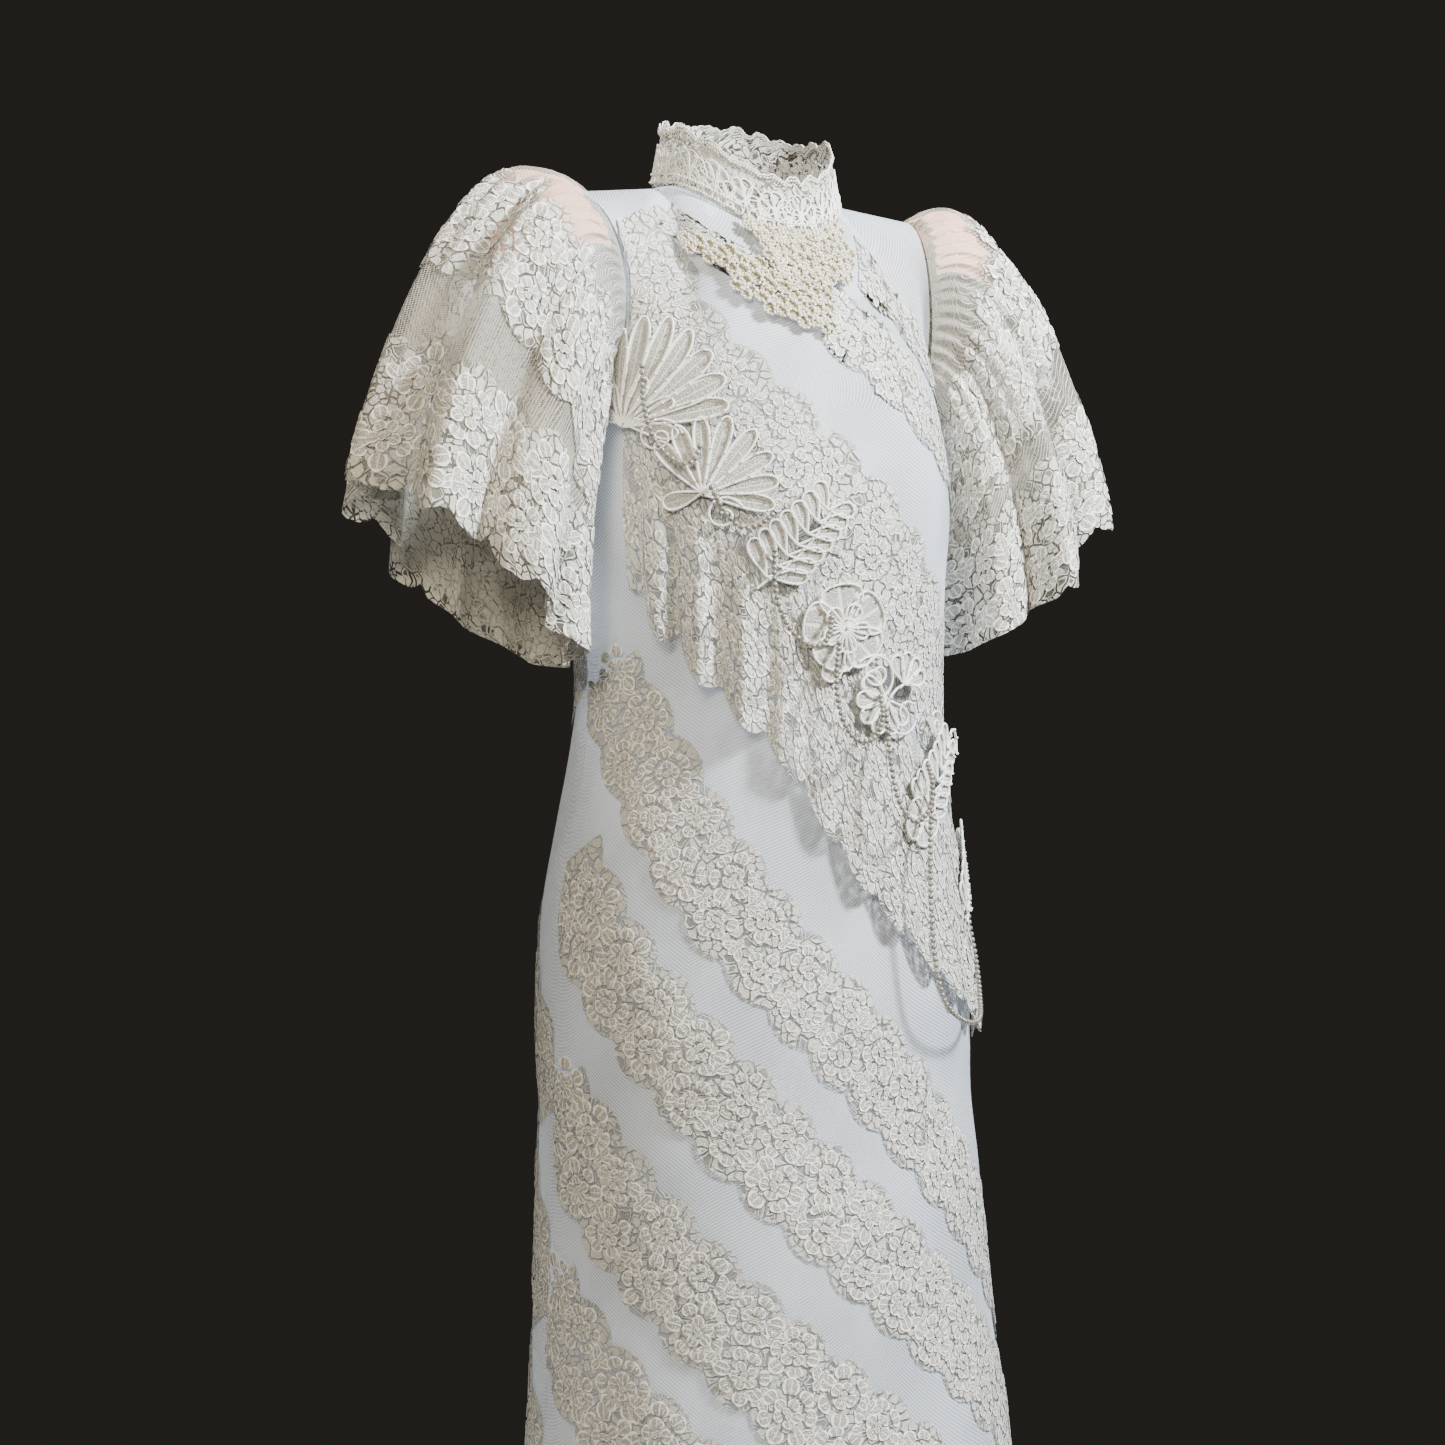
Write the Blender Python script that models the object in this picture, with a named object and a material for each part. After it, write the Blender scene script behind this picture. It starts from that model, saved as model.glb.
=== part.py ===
"""Wedding dress: a straight net sheath with slanting lace bands, a gathered flounce and wide flutter sleeves.

Metres, +Z up. The front faces -Y and the wearer's right is at -X. The origin lies between the shoulders.
"""

import math
from collections import namedtuple

import bpy
import numpy as np

for old in list(bpy.data.objects):
    bpy.data.objects.remove(old, do_unlink=True)

# Driving sizes of the whole dress
WALL = 0.0012
SEAM_GAP = 0.0003
HEM_HEIGHT = -1.42
UNDERARM_HEIGHT = -0.205
SHOULDER_TIP = (0.160, 0.004, -0.042)

# Neckline
NECK_HALF_WIDTH = 0.078
NECK_FRONT_DEPTH = 0.072
NECK_BACK_DEPTH = 0.060
NECK_CENTRE_BACKWARD = 0.012
NECK_HEIGHTS = {"front": -0.073, "side": -0.032, "back": -0.017}
NECK_SHARE = 0.5

# Grid of the sheath
FRONT_COLUMNS = 22
YOKE_ROWS = 5
SKIRT_HEIGHTS = (
    *np.linspace(UNDERARM_HEIGHT, -0.62, 9),
    *np.linspace(-0.62, HEM_HEIGHT, 6)[1:],
)

Section = namedtuple("Section", "height half_width front_depth back_depth to_left")
SECTIONS = (
    Section(-1.420, 0.240, 0.222, 0.142, 0.012),
    Section(-1.220, 0.222, 0.206, 0.130, 0.012),
    Section(-1.028, 0.206, 0.190, 0.120, 0.010),
    Section(-0.904, 0.196, 0.172, 0.122, 0.006),
    Section(-0.816, 0.191, 0.163, 0.127, 0.005),
    Section(-0.752, 0.187, 0.153, 0.131, 0.004),
    Section(-0.672, 0.186, 0.149, 0.136, 0.003),
    Section(-0.592, 0.179, 0.139, 0.135, 0.001),
    Section(-0.536, 0.171, 0.136, 0.125, 0.002),
    Section(-0.472, 0.160, 0.134, 0.110, 0.003),
    Section(-0.416, 0.156, 0.134, 0.101, 0.004),
    Section(-0.340, 0.160, 0.139, 0.096, 0.003),
    Section(-0.270, 0.163, 0.141, 0.096, 0.002),
    Section(-0.205, 0.157, 0.128, 0.092, 0.000),
)

Fold = namedtuple("Fold", "turn width depth top bottom")
FOLDS = (
    Fold(-82, 11, 0.006, -0.62, -1.42),
    Fold(-62, 9, 0.004, -0.80, -1.42),
    Fold(-30, 12, 0.004, -0.95, -1.42),
    Fold(12, 13, 0.005, -1.00, -1.42),
    Fold(48, 11, 0.004, -0.85, -1.42),
    Fold(80, 10, 0.005, -0.70, -1.42),
    Fold(112, 11, 0.005, -0.72, -1.42),
    Fold(150, 13, 0.006, -0.80, -1.42),
    Fold(208, 12, 0.005, -0.76, -1.42),
    Fold(246, 10, 0.006, -0.66, -1.42),
)


def hermite(start, end, start_slope, end_slope, share):
    """A cubic from start to end with the given slopes at its ends."""
    square = share * share
    cube = square * share
    return (
        (2 * cube - 3 * square + 1) * start
        + (cube - 2 * square + share) * start_slope
        + (3 * square - 2 * cube) * end
        + (cube - square) * end_slope
    )


def eased(value):
    """0 below 0, 1 above 1, and a soft step between."""
    value = min(max(value, 0.0), 1.0)
    return value * value * (3 - 2 * value)


def section_value(field, height):
    """One size of the sheath's section at a height, smooth between the rows of SECTIONS."""
    heights = np.array([row.height for row in SECTIONS])
    values = np.array([getattr(row, field) for row in SECTIONS])
    slopes = np.gradient(values, heights)
    low = int(np.clip(np.searchsorted(heights, height) - 1, 0, len(heights) - 2))
    step = heights[low + 1] - heights[low]
    share = (height - heights[low]) / step
    return float(hermite(values[low], values[low + 1], slopes[low] * step, slopes[low + 1] * step, share))


def fold_depth(turn, height):
    """How far the cloth stands out at a turn in degrees from the centre front."""
    total = 0.0
    for fold in FOLDS:
        away = (turn - fold.turn + 180) % 360 - 180
        along = eased((fold.top - height) / (fold.top - fold.bottom))
        total += fold.depth * along * math.exp(-((away / fold.width) ** 2))
    return total


def sheath_point(turn, height):
    """A point of the sheath below the armholes. Turn 0 is the centre front, 90 the wearer's left side."""
    angle = math.radians(turn)
    out = 1 + fold_depth(turn, height) / section_value("half_width", height)
    depth = section_value("front_depth" if math.cos(angle) > 0 else "back_depth", height)
    return np.array(
        (
            section_value("to_left", height) + section_value("half_width", height) * math.sin(angle) * out,
            -depth * math.cos(angle) * out,
            height,
        )
    )


def top_edge_point(across, facing):
    """A point of the neck and shoulder edge. Across runs from -1 to 1; facing is -1 in front, 1 behind."""
    side = math.copysign(1.0, across)
    if abs(across) > NECK_SHARE:
        share = (abs(across) - NECK_SHARE) / (1 - NECK_SHARE)
        neck_side = np.array((NECK_HALF_WIDTH, NECK_CENTRE_BACKWARD, NECK_HEIGHTS["side"]))
        point = neck_side + (np.array(SHOULDER_TIP) - neck_side) * share
        return point * (side, 1, 1)
    angle = abs(across) / NECK_SHARE * math.pi / 2
    depth = NECK_FRONT_DEPTH if facing < 0 else NECK_BACK_DEPTH
    middle = NECK_HEIGHTS["front" if facing < 0 else "back"]
    return np.array(
        (
            side * NECK_HALF_WIDTH * math.sin(angle),
            NECK_CENTRE_BACKWARD + facing * depth * math.cos(angle),
            NECK_HEIGHTS["side"] + (middle - NECK_HEIGHTS["side"]) * math.cos(angle) ** 2,
        )
    )


def yoke_point(across, share, facing):
    """A point between the top edge (share 0) and the underarm line (share 1)."""
    turn = across * 90 if facing < 0 else 180 - across * 90
    top = top_edge_point(across, facing)
    low = sheath_point(turn, UNDERARM_HEIGHT)
    drop = low - top
    over_shoulder = eased((abs(across) - 0.35) / 0.3)
    chest_start = drop * (1.0, 1.4, 0.6)
    shoulder_start = np.array((drop[0], facing * 0.12, -0.03))
    start_slope = chest_start * (1 - over_shoulder) + shoulder_start * over_shoulder
    below = sheath_point(turn, UNDERARM_HEIGHT - 0.02)
    end_slope = (below - low) / 0.02 * abs(drop[2])
    scoop = abs(across) ** 6
    side = math.copysign(1.0, across)
    start_slope = start_slope * (1 - scoop) + np.array((-side * 0.06, facing * 0.19, -0.05)) * scoop
    end_slope = end_slope * (1 - scoop) + np.array((side * 0.06, -facing * 0.19, -0.05)) * scoop
    return hermite(top, low, start_slope, end_slope, share)


def panel_points(across_first, across_last, columns, facing):
    """Rows of points from the top edge to the hem, over a stretch of the front or the back."""
    rows = []
    acrosses = np.linspace(across_first, across_last, columns + 1)
    for share in np.linspace(0, 1, YOKE_ROWS + 1)[:-1]:
        rows.append([yoke_point(across, share, facing) for across in acrosses])
    for height in SKIRT_HEIGHTS:
        turns = [across * 90 if facing < 0 else 180 - across * 90 for across in acrosses]
        rows.append([sheath_point(turn, height) for turn in turns])
    return np.array(rows) + (0, facing * SEAM_GAP / 2, 0)


def outward(points, closed=False):
    """Unit directions off a grid of points, towards the side that rows x columns gives."""
    if closed:
        across = np.roll(points, -1, axis=1) - np.roll(points, 1, axis=1)
    else:
        across = np.gradient(points, axis=1)
    normal = np.cross(np.gradient(points, axis=0), across)
    return normal / np.linalg.norm(normal, axis=2, keepdims=True)


Panel = namedtuple("Panel", "points normals")


def make_material(name, colour, roughness, metallic=0.0):
    material = bpy.data.materials.new(name)
    material.use_nodes = True
    shader = material.node_tree.nodes["Principled BSDF"]
    shader.inputs["Base Color"].default_value = (*colour, 1)
    shader.inputs["Roughness"].default_value = roughness
    shader.inputs["Metallic"].default_value = metallic
    return material


NET = make_material("ivory net", (0.78, 0.75, 0.67), 0.75)
LACE = make_material("ivory lace", (0.86, 0.84, 0.78), 0.70)
CORDED_LACE = make_material("white corded lace", (0.90, 0.89, 0.85), 0.55)
NECK_LACE = make_material("beaded cream lace", (0.80, 0.74, 0.60), 0.55)
PEACH_NET = make_material("peach net", (0.85, 0.66, 0.55), 0.75)
PEARL = make_material("ivory pearl", (0.90, 0.86, 0.78), 0.25)
COVERED_BUTTON = make_material("satin covered button", (0.85, 0.82, 0.75), 0.40)


def add_object(name, points, faces, material):
    mesh = bpy.data.meshes.new(name)
    mesh.from_pydata([tuple(point) for point in points], [], faces)
    mesh.materials.append(material)
    mesh.shade_smooth()
    made = bpy.data.objects.new(name, mesh)
    bpy.context.scene.collection.objects.link(made)
    return made


def add_wall(name, inner, outer, material, closed=False):
    """A closed solid between two grids of points, open or closed round its columns."""
    rows, columns = inner.shape[:2]
    count = rows * columns
    last = columns if closed else columns - 1

    def at(row, column, layer):
        return layer * count + row * columns + column % columns

    faces = []
    for row in range(rows - 1):
        for column in range(last):
            corners = ((row, column), (row + 1, column), (row + 1, column + 1), (row, column + 1))
            outside = [at(r, c, 1) for r, c in corners]
            inside = [at(r, c, 0) for r, c in corners]
            faces += [(outside[0], outside[1], outside[2]), (outside[0], outside[2], outside[3])]
            faces += [(inside[2], inside[1], inside[0]), (inside[3], inside[2], inside[0])]
    for column in range(last):
        top = (at(0, column, 0), at(0, column, 1), at(0, column + 1, 1), at(0, column + 1, 0))
        foot = rows - 1
        bottom = (at(foot, column, 1), at(foot, column, 0), at(foot, column + 1, 0), at(foot, column + 1, 1))
        faces += [top, bottom]
    if not closed:
        for row in range(rows - 1):
            faces.append((at(row, 0, 1), at(row, 0, 0), at(row + 1, 0, 0), at(row + 1, 0, 1)))
            end = columns - 1
            faces.append((at(row, end, 0), at(row, end, 1), at(row + 1, end, 1), at(row + 1, end, 0)))
    return add_object(name, np.concatenate((inner.reshape(-1, 3), outer.reshape(-1, 3))), faces, material)


def add_panel(name, points, material, thickness=WALL):
    panel = Panel(points, outward(points))
    add_wall(name, points, points + panel.normals * thickness, material)
    return panel


# Front panel: one piece of net from the right side seam to the left
FRONT = add_panel("front_panel", panel_points(-1, 1, FRONT_COLUMNS, -1), NET)

# Back panels: a right and a left half, which meet at the centre back closing
CLOSING_SHARE = 0.0008
BACK_COLUMNS = FRONT_COLUMNS // 2
BACK_LEFT = add_panel("back_panel_left", panel_points(1, CLOSING_SHARE, BACK_COLUMNS, 1), NET)
BACK_RIGHT = add_panel("back_panel_right", panel_points(-CLOSING_SHARE, -1, BACK_COLUMNS, 1), NET)


def column_point(grid, column, height):
    """The point of one column of a grid at a height."""
    line = grid[:, column]
    return np.array([np.interp(-height, -line[:, 2], line[:, axis]) for axis in range(3)])


def column_normal(panel, column, height):
    """The outward direction of one column of a panel at a height."""
    heights = -panel.points[:, column, 2]
    normal = [np.interp(-height, heights, panel.normals[:, column, axis]) for axis in range(3)]
    return np.array(normal) / np.linalg.norm(normal)


def on_panel(panel, column, height, away):
    """A point over a panel, at a fractional column and a height, moved out from it."""
    low = int(min(max(math.floor(column), 0), panel.points.shape[1] - 2))
    share = column - low
    point = column_point(panel.points, low, height) * (1 - share)
    point += column_point(panel.points, low + 1, height) * share
    normal = column_normal(panel, low, height) * (1 - share) + column_normal(panel, low + 1, height) * share
    return point + normal / np.linalg.norm(normal) * away


def over_front(across, height, away):
    """A point over the front panel; across runs from -1 at the right side seam to 1 at the left."""
    return on_panel(FRONT, (across + 1) / 2 * FRONT_COLUMNS, height, away)


# Lace bands: scalloped lace laid in slanting stripes over the net and sewn down along both edges
BAND_WALL = 0.0008
BAND_EDGE = 0.004
BAND_FROM_SHOULDER = 0.032
SCALLOP = 0.006

Band = namedtuple("Band", "name middle slope half_height first last rows lift")
FRONT_BANDS = (
    Band("left_shoulder", -0.040, -0.170, 0.030, 0.36, 0.80, 2, 0.0045),
    Band("left_chest", -0.135, -0.175, 0.032, 0.00, 0.86, 2, 0.0034),
    Band("chest", -0.310, -0.250, 0.067, -0.82, 0.90, 6, 0.0040),
    Band("waist", -0.700, -0.325, 0.054, -0.74, 1.00, 2, 0.0020),
    Band("hip", -0.850, -0.300, 0.054, -1.00, 1.00, 2, 0.0032),
    Band("thigh", -1.010, -0.280, 0.055, -1.00, 1.00, 2, 0.0025),
    Band("knee", -1.165, -0.280, 0.055, -1.00, 0.80, 2, 0.0025),
    Band("calf", -1.320, -0.280, 0.055, -1.00, 0.28, 2, 0.0018),
    Band("ankle", -1.475, -0.280, 0.055, -1.00, -0.28, 2, 0.0017),
)
BACK_BANDS = (
    Band("shoulder_blade", -0.260, -0.170, 0.050, -0.80, 0.80, 3, 0.0028),
    Band("waist", -0.450, -0.290, 0.055, -0.72, 1.00, 3, 0.0037),
    Band("hip", -0.610, -0.290, 0.055, -1.00, 1.00, 3, 0.0040),
    Band("seat", -0.765, -0.290, 0.055, -1.00, 1.00, 3, 0.0036),
    Band("thigh", -0.920, -0.290, 0.055, -1.00, 1.00, 2, 0.0028),
    Band("knee", -1.075, -0.290, 0.055, -1.00, 1.00, 2, 0.0018),
    Band("calf", -1.230, -0.290, 0.055, -1.00, 0.50, 2, 0.0018),
    Band("ankle", -1.385, -0.290, 0.055, -1.00, -0.05, 2, 0.0019),
)


def add_band(name, band, panel, across_first, across_last):
    """A band over the columns of a panel whose across values run evenly from first to last."""
    columns = panel.points.shape[1]
    inner, outer = [], []
    for column in range(columns):
        across = across_first + (across_last - across_first) * column / (columns - 1)
        if not band.first - 1e-6 <= across <= band.last + 1e-6:
            continue
        top = panel.points[0, column, 2] - BAND_FROM_SHOULDER
        middle = band.middle + band.slope * across
        half = band.half_height + SCALLOP * (1 if column % 2 else -1)
        upper = min(middle + half, top)
        lower = max(middle - half, HEM_HEIGHT + BAND_EDGE)
        if upper - lower < half / 2:
            continue
        heights = np.linspace(upper, lower, band.rows + 1)
        inner.append([on_panel(panel, column, height, band.lift) for height in heights])
        outer.append([on_panel(panel, column, height, band.lift + BAND_WALL) for height in heights])
    if len(inner) < 2:
        return
    inner, outer = (np.array(grid).transpose(1, 0, 2) for grid in (inner, outer))
    add_wall(name, inner, outer, LACE)


for band in FRONT_BANDS:
    add_band(f"lace_band_front_{band.name}", band, FRONT, -1, 1)
for band in BACK_BANDS:
    add_band(f"lace_band_back_left_{band.name}", band, BACK_LEFT, -1, 0)
    add_band(f"lace_band_back_right_{band.name}", band, BACK_RIGHT, 0, 1)

# Stand collar: corded lace with a pointed upper edge, open at the centre back
COLLAR_COLUMNS = 40
COLLAR_WALL = 0.0016
COLLAR_HEIGHTS = {"front": 0.040, "back": 0.043}
COLLAR_TOP_SCALE = 0.90
COLLAR_POINT = 0.008
COLLAR_SEAT = WALL + 2 * SEAM_GAP


def neck_point(turn):
    """A point of the neckline; turn 0 is the centre front and 180 the centre back."""
    angle = math.radians(turn)
    front = math.cos(angle) > 0
    depth = NECK_FRONT_DEPTH if front else NECK_BACK_DEPTH
    middle = NECK_HEIGHTS["front" if front else "back"]
    return np.array(
        (
            NECK_HALF_WIDTH * math.sin(angle),
            NECK_CENTRE_BACKWARD - depth * math.cos(angle),
            NECK_HEIGHTS["side"] + (middle - NECK_HEIGHTS["side"]) * math.cos(angle) ** 2,
        )
    )


def collar_points():
    closing = math.degrees(SEAM_GAP / NECK_HALF_WIDTH)
    rows = []
    for share in (1.0, 0.5, 0.0):
        row = []
        for column, turn in enumerate(np.linspace(-180 + closing, 180 - closing, COLLAR_COLUMNS + 1)):
            base = neck_point(turn)
            tall = COLLAR_HEIGHTS["front"] if abs(turn) < 90 else COLLAR_HEIGHTS["back"]
            point_rise = COLLAR_POINT * (column % 2) if share == 1.0 else 0
            scale = 1 - (1 - COLLAR_TOP_SCALE) * share
            middle = np.array((0, NECK_CENTRE_BACKWARD, 0))
            point = middle + (base - middle) * (scale, scale, 1)
            row.append(point + (0, 0, COLLAR_SEAT + tall * share + point_rise))
        rows.append(row)
    return np.array(rows)


add_panel("collar", collar_points(), CORDED_LACE, COLLAR_WALL)

# Sleeves: wide flutter sleeves of net, gathered into the armhole, with flutes that open towards the hem
FLUTES = 8
FLUTE_COLUMNS = 6
SLEEVE_COLUMNS = FLUTES * FLUTE_COLUMNS
SLEEVE_SEAT = WALL + 0.0004
UNDERARM_SEAT = 0.0029
SLEEVE_HEM_MIDDLE = (0.256, 0.0, -0.340)
SLEEVE_HEM_HALF_WIDTH = 0.074
SLEEVE_HEM_HALF_DEPTH = 0.088
SLEEVE_HEM_SLANT = 0.062
FLUTE_DEPTH = 0.017
HEM_SCALLOP = 0.004
SLEEVE_ROW_SHARES = (0.0, 0.10, 0.22, 0.38, 0.55, 0.65, 0.82, 1.0)
UPPER_BAND_ROWS = slice(2, 5)
LOWER_BAND_ROWS = slice(5, 8)

SleeveSide = namedtuple("SleeveSide", "name mirror wobble wobble_turn uneven_turn")
SLEEVE_SIDES = (
    SleeveSide("right", 1, 0.020, 0.4, 0.9),
    SleeveSide("left", -1, 0.018, 2.1, 2.6),
)


def resampled(line, count):
    """Count points at even distances along a line, its last point left out."""
    steps = np.linalg.norm(np.diff(line, axis=0), axis=1)
    along = np.concatenate(((0.0,), np.cumsum(steps)))
    wanted = np.linspace(0, along[-1], count + 1)[:-1]
    return np.array([[np.interp(at, along, line[:, axis]) for axis in range(3)] for at in wanted])


def armhole_points():
    """The right armhole, from the shoulder tip down the front and up the back."""
    front = FRONT.points[: YOKE_ROWS + 1, 0]
    back = BACK_RIGHT.points[: YOKE_ROWS + 1, -1]
    half = SLEEVE_COLUMNS // 2
    return np.concatenate((resampled(front, half), resampled(back[::-1], half)))


def sleeve_points(side, shares):
    """Rows of points at shares of the way from the right armhole to the hem, before they are mirrored."""
    armhole = armhole_points()
    rows = []
    for share in shares:
        row = []
        for column in range(SLEEVE_COLUMNS):
            turn = 2 * math.pi * column / SLEEVE_COLUMNS
            top = (1 + math.cos(turn)) / 2
            root = armhole[column] - (SLEEVE_SEAT + UNDERARM_SEAT * (1 - top), 0, 0)
            hem = np.array(
                (
                    -SLEEVE_HEM_MIDDLE[0] - SLEEVE_HEM_HALF_WIDTH * math.cos(turn),
                    SLEEVE_HEM_MIDDLE[1] - SLEEVE_HEM_HALF_DEPTH * math.sin(turn),
                    SLEEVE_HEM_MIDDLE[2] + SLEEVE_HEM_SLANT * math.cos(turn),
                )
            )
            leaving = np.array((-0.05 - 0.17 * top, -0.10 * math.sin(turn), -0.08 + 0.30 * top))
            falling = np.array((-0.03 * top, 0.0, -0.20 - 0.12 * top))
            point = hermite(root, hem, leaving, falling, share)
            uneven = turn + side.wobble * FLUTES * math.sin(2 * turn + side.wobble_turn) / 2
            wave = math.cos(FLUTES * uneven)
            deep = FLUTE_DEPTH * (1 + 0.25 * math.sin(3 * turn + side.uneven_turn))
            deep *= share**1.4 * (0.25 + 0.75 * top)
            radial = np.array((-math.cos(turn), -math.sin(turn), 0))
            point = point + radial * deep * wave
            if share == 1.0:
                point[2] += HEM_SCALLOP * (1 if column % 2 else -1)
            row.append(point)
        rows.append(row)
    return np.array(rows)


def mirrored(points):
    return points[:, ::-1] * (-1, 1, 1)


for side in SLEEVE_SIDES:
    points = sleeve_points(side, SLEEVE_ROW_SHARES)
    if side.mirror < 0:
        points = mirrored(points)
    normals = outward(points, closed=True)
    add_wall(f"sleeve_{side.name}", points, points + normals * WALL, NET, closed=True)
    lift = WALL + SEAM_GAP
    for band_name, band_rows in (("upper", UPPER_BAND_ROWS), ("lower", LOWER_BAND_ROWS)):
        under = points[band_rows] + normals[band_rows] * lift
        over = under + normals[band_rows] * BAND_WALL
        add_wall(f"sleeve_{side.name}_lace_{band_name}", under, over, LACE, closed=True)

# Sleeve head stays: short pieces of peach net inside the sleeve heads, which hold the gathers up
STAY_SHARES = (0.05, 0.15, 0.27)
STAY_HALF_COLUMNS = 8
STAY_COLUMN_STEP = 2
STAY_INSET = 0.0032
STAY_WALL = 0.0010

for side in SLEEVE_SIDES:
    points = sleeve_points(side, STAY_SHARES)
    normals = outward(points, closed=True)
    columns = np.arange(-STAY_HALF_COLUMNS, STAY_HALF_COLUMNS + 1, STAY_COLUMN_STEP)
    outer = (points - normals * STAY_INSET)[:, columns]
    inner = (points - normals * (STAY_INSET + STAY_WALL))[:, columns]
    if side.mirror < 0:
        outer, inner = mirrored(outer), mirrored(inner)
    add_wall(f"sleeve_head_stay_{side.name}", inner, outer, PEACH_NET)

# Flounce: a gathered lace ruffle from the right armhole down across the front to the left hip
FLOUNCE_COLUMNS = 64
FLOUNCE_WAVES = 16
FLOUNCE_LIFT = 0.0070
FLOUNCE_MEAN = 0.0075
FLOUNCE_WAVE = 0.0075
FLOUNCE_FLAT_SHARE = 0.22
FLOUNCE_ROW_SHARES = (0.0, 0.3, 0.65, 1.0)

Edge = namedtuple("Edge", "across top bottom")
FLOUNCE_EDGES = (
    Edge(-0.76, -0.168, -0.335),
    Edge(-0.60, -0.200, -0.385),
    Edge(-0.25, -0.300, -0.475),
    Edge(0.00, -0.390, -0.570),
    Edge(0.25, -0.460, -0.645),
    Edge(0.50, -0.530, -0.690),
    Edge(0.72, -0.580, -0.712),
)


def flounce_point(share_along, share_down, lift=0.0):
    """A point of the flounce's underside, moved out by lift."""
    acrosses = [edge.across for edge in FLOUNCE_EDGES]
    across = acrosses[0] + (acrosses[-1] - acrosses[0]) * share_along
    top = np.interp(across, acrosses, [edge.top for edge in FLOUNCE_EDGES])
    bottom = np.interp(across, acrosses, [edge.bottom for edge in FLOUNCE_EDGES])
    phase = 2 * math.pi * FLOUNCE_WAVES * (share_along + 0.008 * math.sin(11 * share_along + 0.5))
    tapered = eased(share_along / 0.08) * eased((1 - share_along) / 0.08)
    growth = max(share_down - FLOUNCE_FLAT_SHARE, 0) / (1 - FLOUNCE_FLAT_SHARE)
    out = growth**0.8 * tapered * (FLOUNCE_MEAN + FLOUNCE_WAVE * math.cos(phase))
    return over_front(across, top + (bottom - top) * share_down, FLOUNCE_LIFT + out + lift)


flounce = np.array(
    [
        [flounce_point(column / FLOUNCE_COLUMNS, share) for column in range(FLOUNCE_COLUMNS + 1)]
        for share in FLOUNCE_ROW_SHARES
    ]
)
add_wall("flounce", flounce, flounce + outward(flounce) * BAND_WALL, LACE)

# Motifs: lobed pieces of corded lace, sewn on along the flounce's upper edge and below the collar
MOTIF_WALL = 0.0018
NECK_MOTIF_WALL = 0.0022
MOTIF_RIM_POINTS = 20
MOTIF_RINGS = (0.5, 1.0)
METRES_PER_ACROSS = 0.245

Motif = namedtuple("Motif", "name across height half_width half_height lobes lobe_depth lean lift")
MOTIFS = (
    Motif("shell", -0.67, -0.185, 0.030, 0.046, 5, 0.16, -20, 0.0108),
    Motif("fan", -0.43, -0.245, 0.026, 0.038, 5, 0.18, -30, 0.0108),
    Motif("leaf", -0.25, -0.305, 0.024, 0.034, 4, 0.16, -35, 0.0108),
    Motif("flower", -0.08, -0.370, 0.022, 0.030, 5, 0.20, 0, 0.0104),
    Motif("scroll", 0.10, -0.425, 0.026, 0.024, 4, 0.18, -25, 0.0105),
    Motif("spray", 0.32, -0.490, 0.026, 0.044, 5, 0.16, -35, 0.0128),
    Motif("hip", 0.62, -0.575, 0.026, 0.040, 5, 0.16, -25, 0.0124),
)
NECK_MOTIFS = (
    Motif("neck_right", -0.28, -0.118, 0.042, 0.019, 5, 0.20, -18, 0.0030),
    Motif("neck_left", 0.13, -0.098, 0.032, 0.021, 5, 0.20, 8, 0.0045),
)


def add_motif(name, motif, wall, material):
    """A thin lobed plate that follows the front panel."""
    lean = math.radians(motif.lean)

    def place(ring, step, away):
        angle = 2 * math.pi * step / MOTIF_RIM_POINTS
        reach = ring * (1 + motif.lobe_depth * math.cos(motif.lobes * angle) * ring)
        wide = motif.half_width * reach * math.cos(angle)
        tall = motif.half_height * reach * math.sin(angle)
        sideways = wide * math.cos(lean) - tall * math.sin(lean)
        up = wide * math.sin(lean) + tall * math.cos(lean)
        return over_front(motif.across + sideways / METRES_PER_ACROSS, motif.height + up, away)

    points, faces = [], []
    rim = MOTIF_RIM_POINTS
    layer = 1 + rim * len(MOTIF_RINGS)
    for away in (motif.lift, motif.lift + wall):
        points.append(over_front(motif.across, motif.height, away))
        for ring in MOTIF_RINGS:
            points += [place(ring, step, away) for step in range(rim)]
    for step in range(rim):
        after = (step + 1) % rim
        under = [(0, 1 + after, 1 + step)]
        for ring in range(len(MOTIF_RINGS) - 1):
            low, high = 1 + ring * rim, 1 + (ring + 1) * rim
            under += [(low + step, low + after, high + after), (low + step, high + after, high + step)]
        faces += under
        faces += [tuple(layer + corner for corner in reversed(face)) for face in under]
        edge = 1 + (len(MOTIF_RINGS) - 1) * rim
        faces.append((edge + step, edge + after, layer + edge + after, layer + edge + step))
    add_object(name, points, faces, material)


for motif in MOTIFS:
    add_motif(f"motif_{motif.name}", motif, MOTIF_WALL, CORDED_LACE)
for motif in NECK_MOTIFS:
    add_motif(f"motif_{motif.name}", motif, NECK_MOTIF_WALL, NECK_LACE)

# Covered buttons: small round buttons down the left edge of the centre back closing
BUTTON_COUNT = 5
BUTTON_RADIUS = 0.0055
BUTTON_SPACING = 0.023
BUTTON_FIRST_HEIGHT = -0.034
BUTTON_FROM_CLOSING = 0.6
BUTTON_SIDES = 8
BUTTON_RINGS = ((1.0, 0.0), (0.92, 0.35), (0.55, 0.62))
BUTTON_LIFT = WALL + 0.0006

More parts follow.
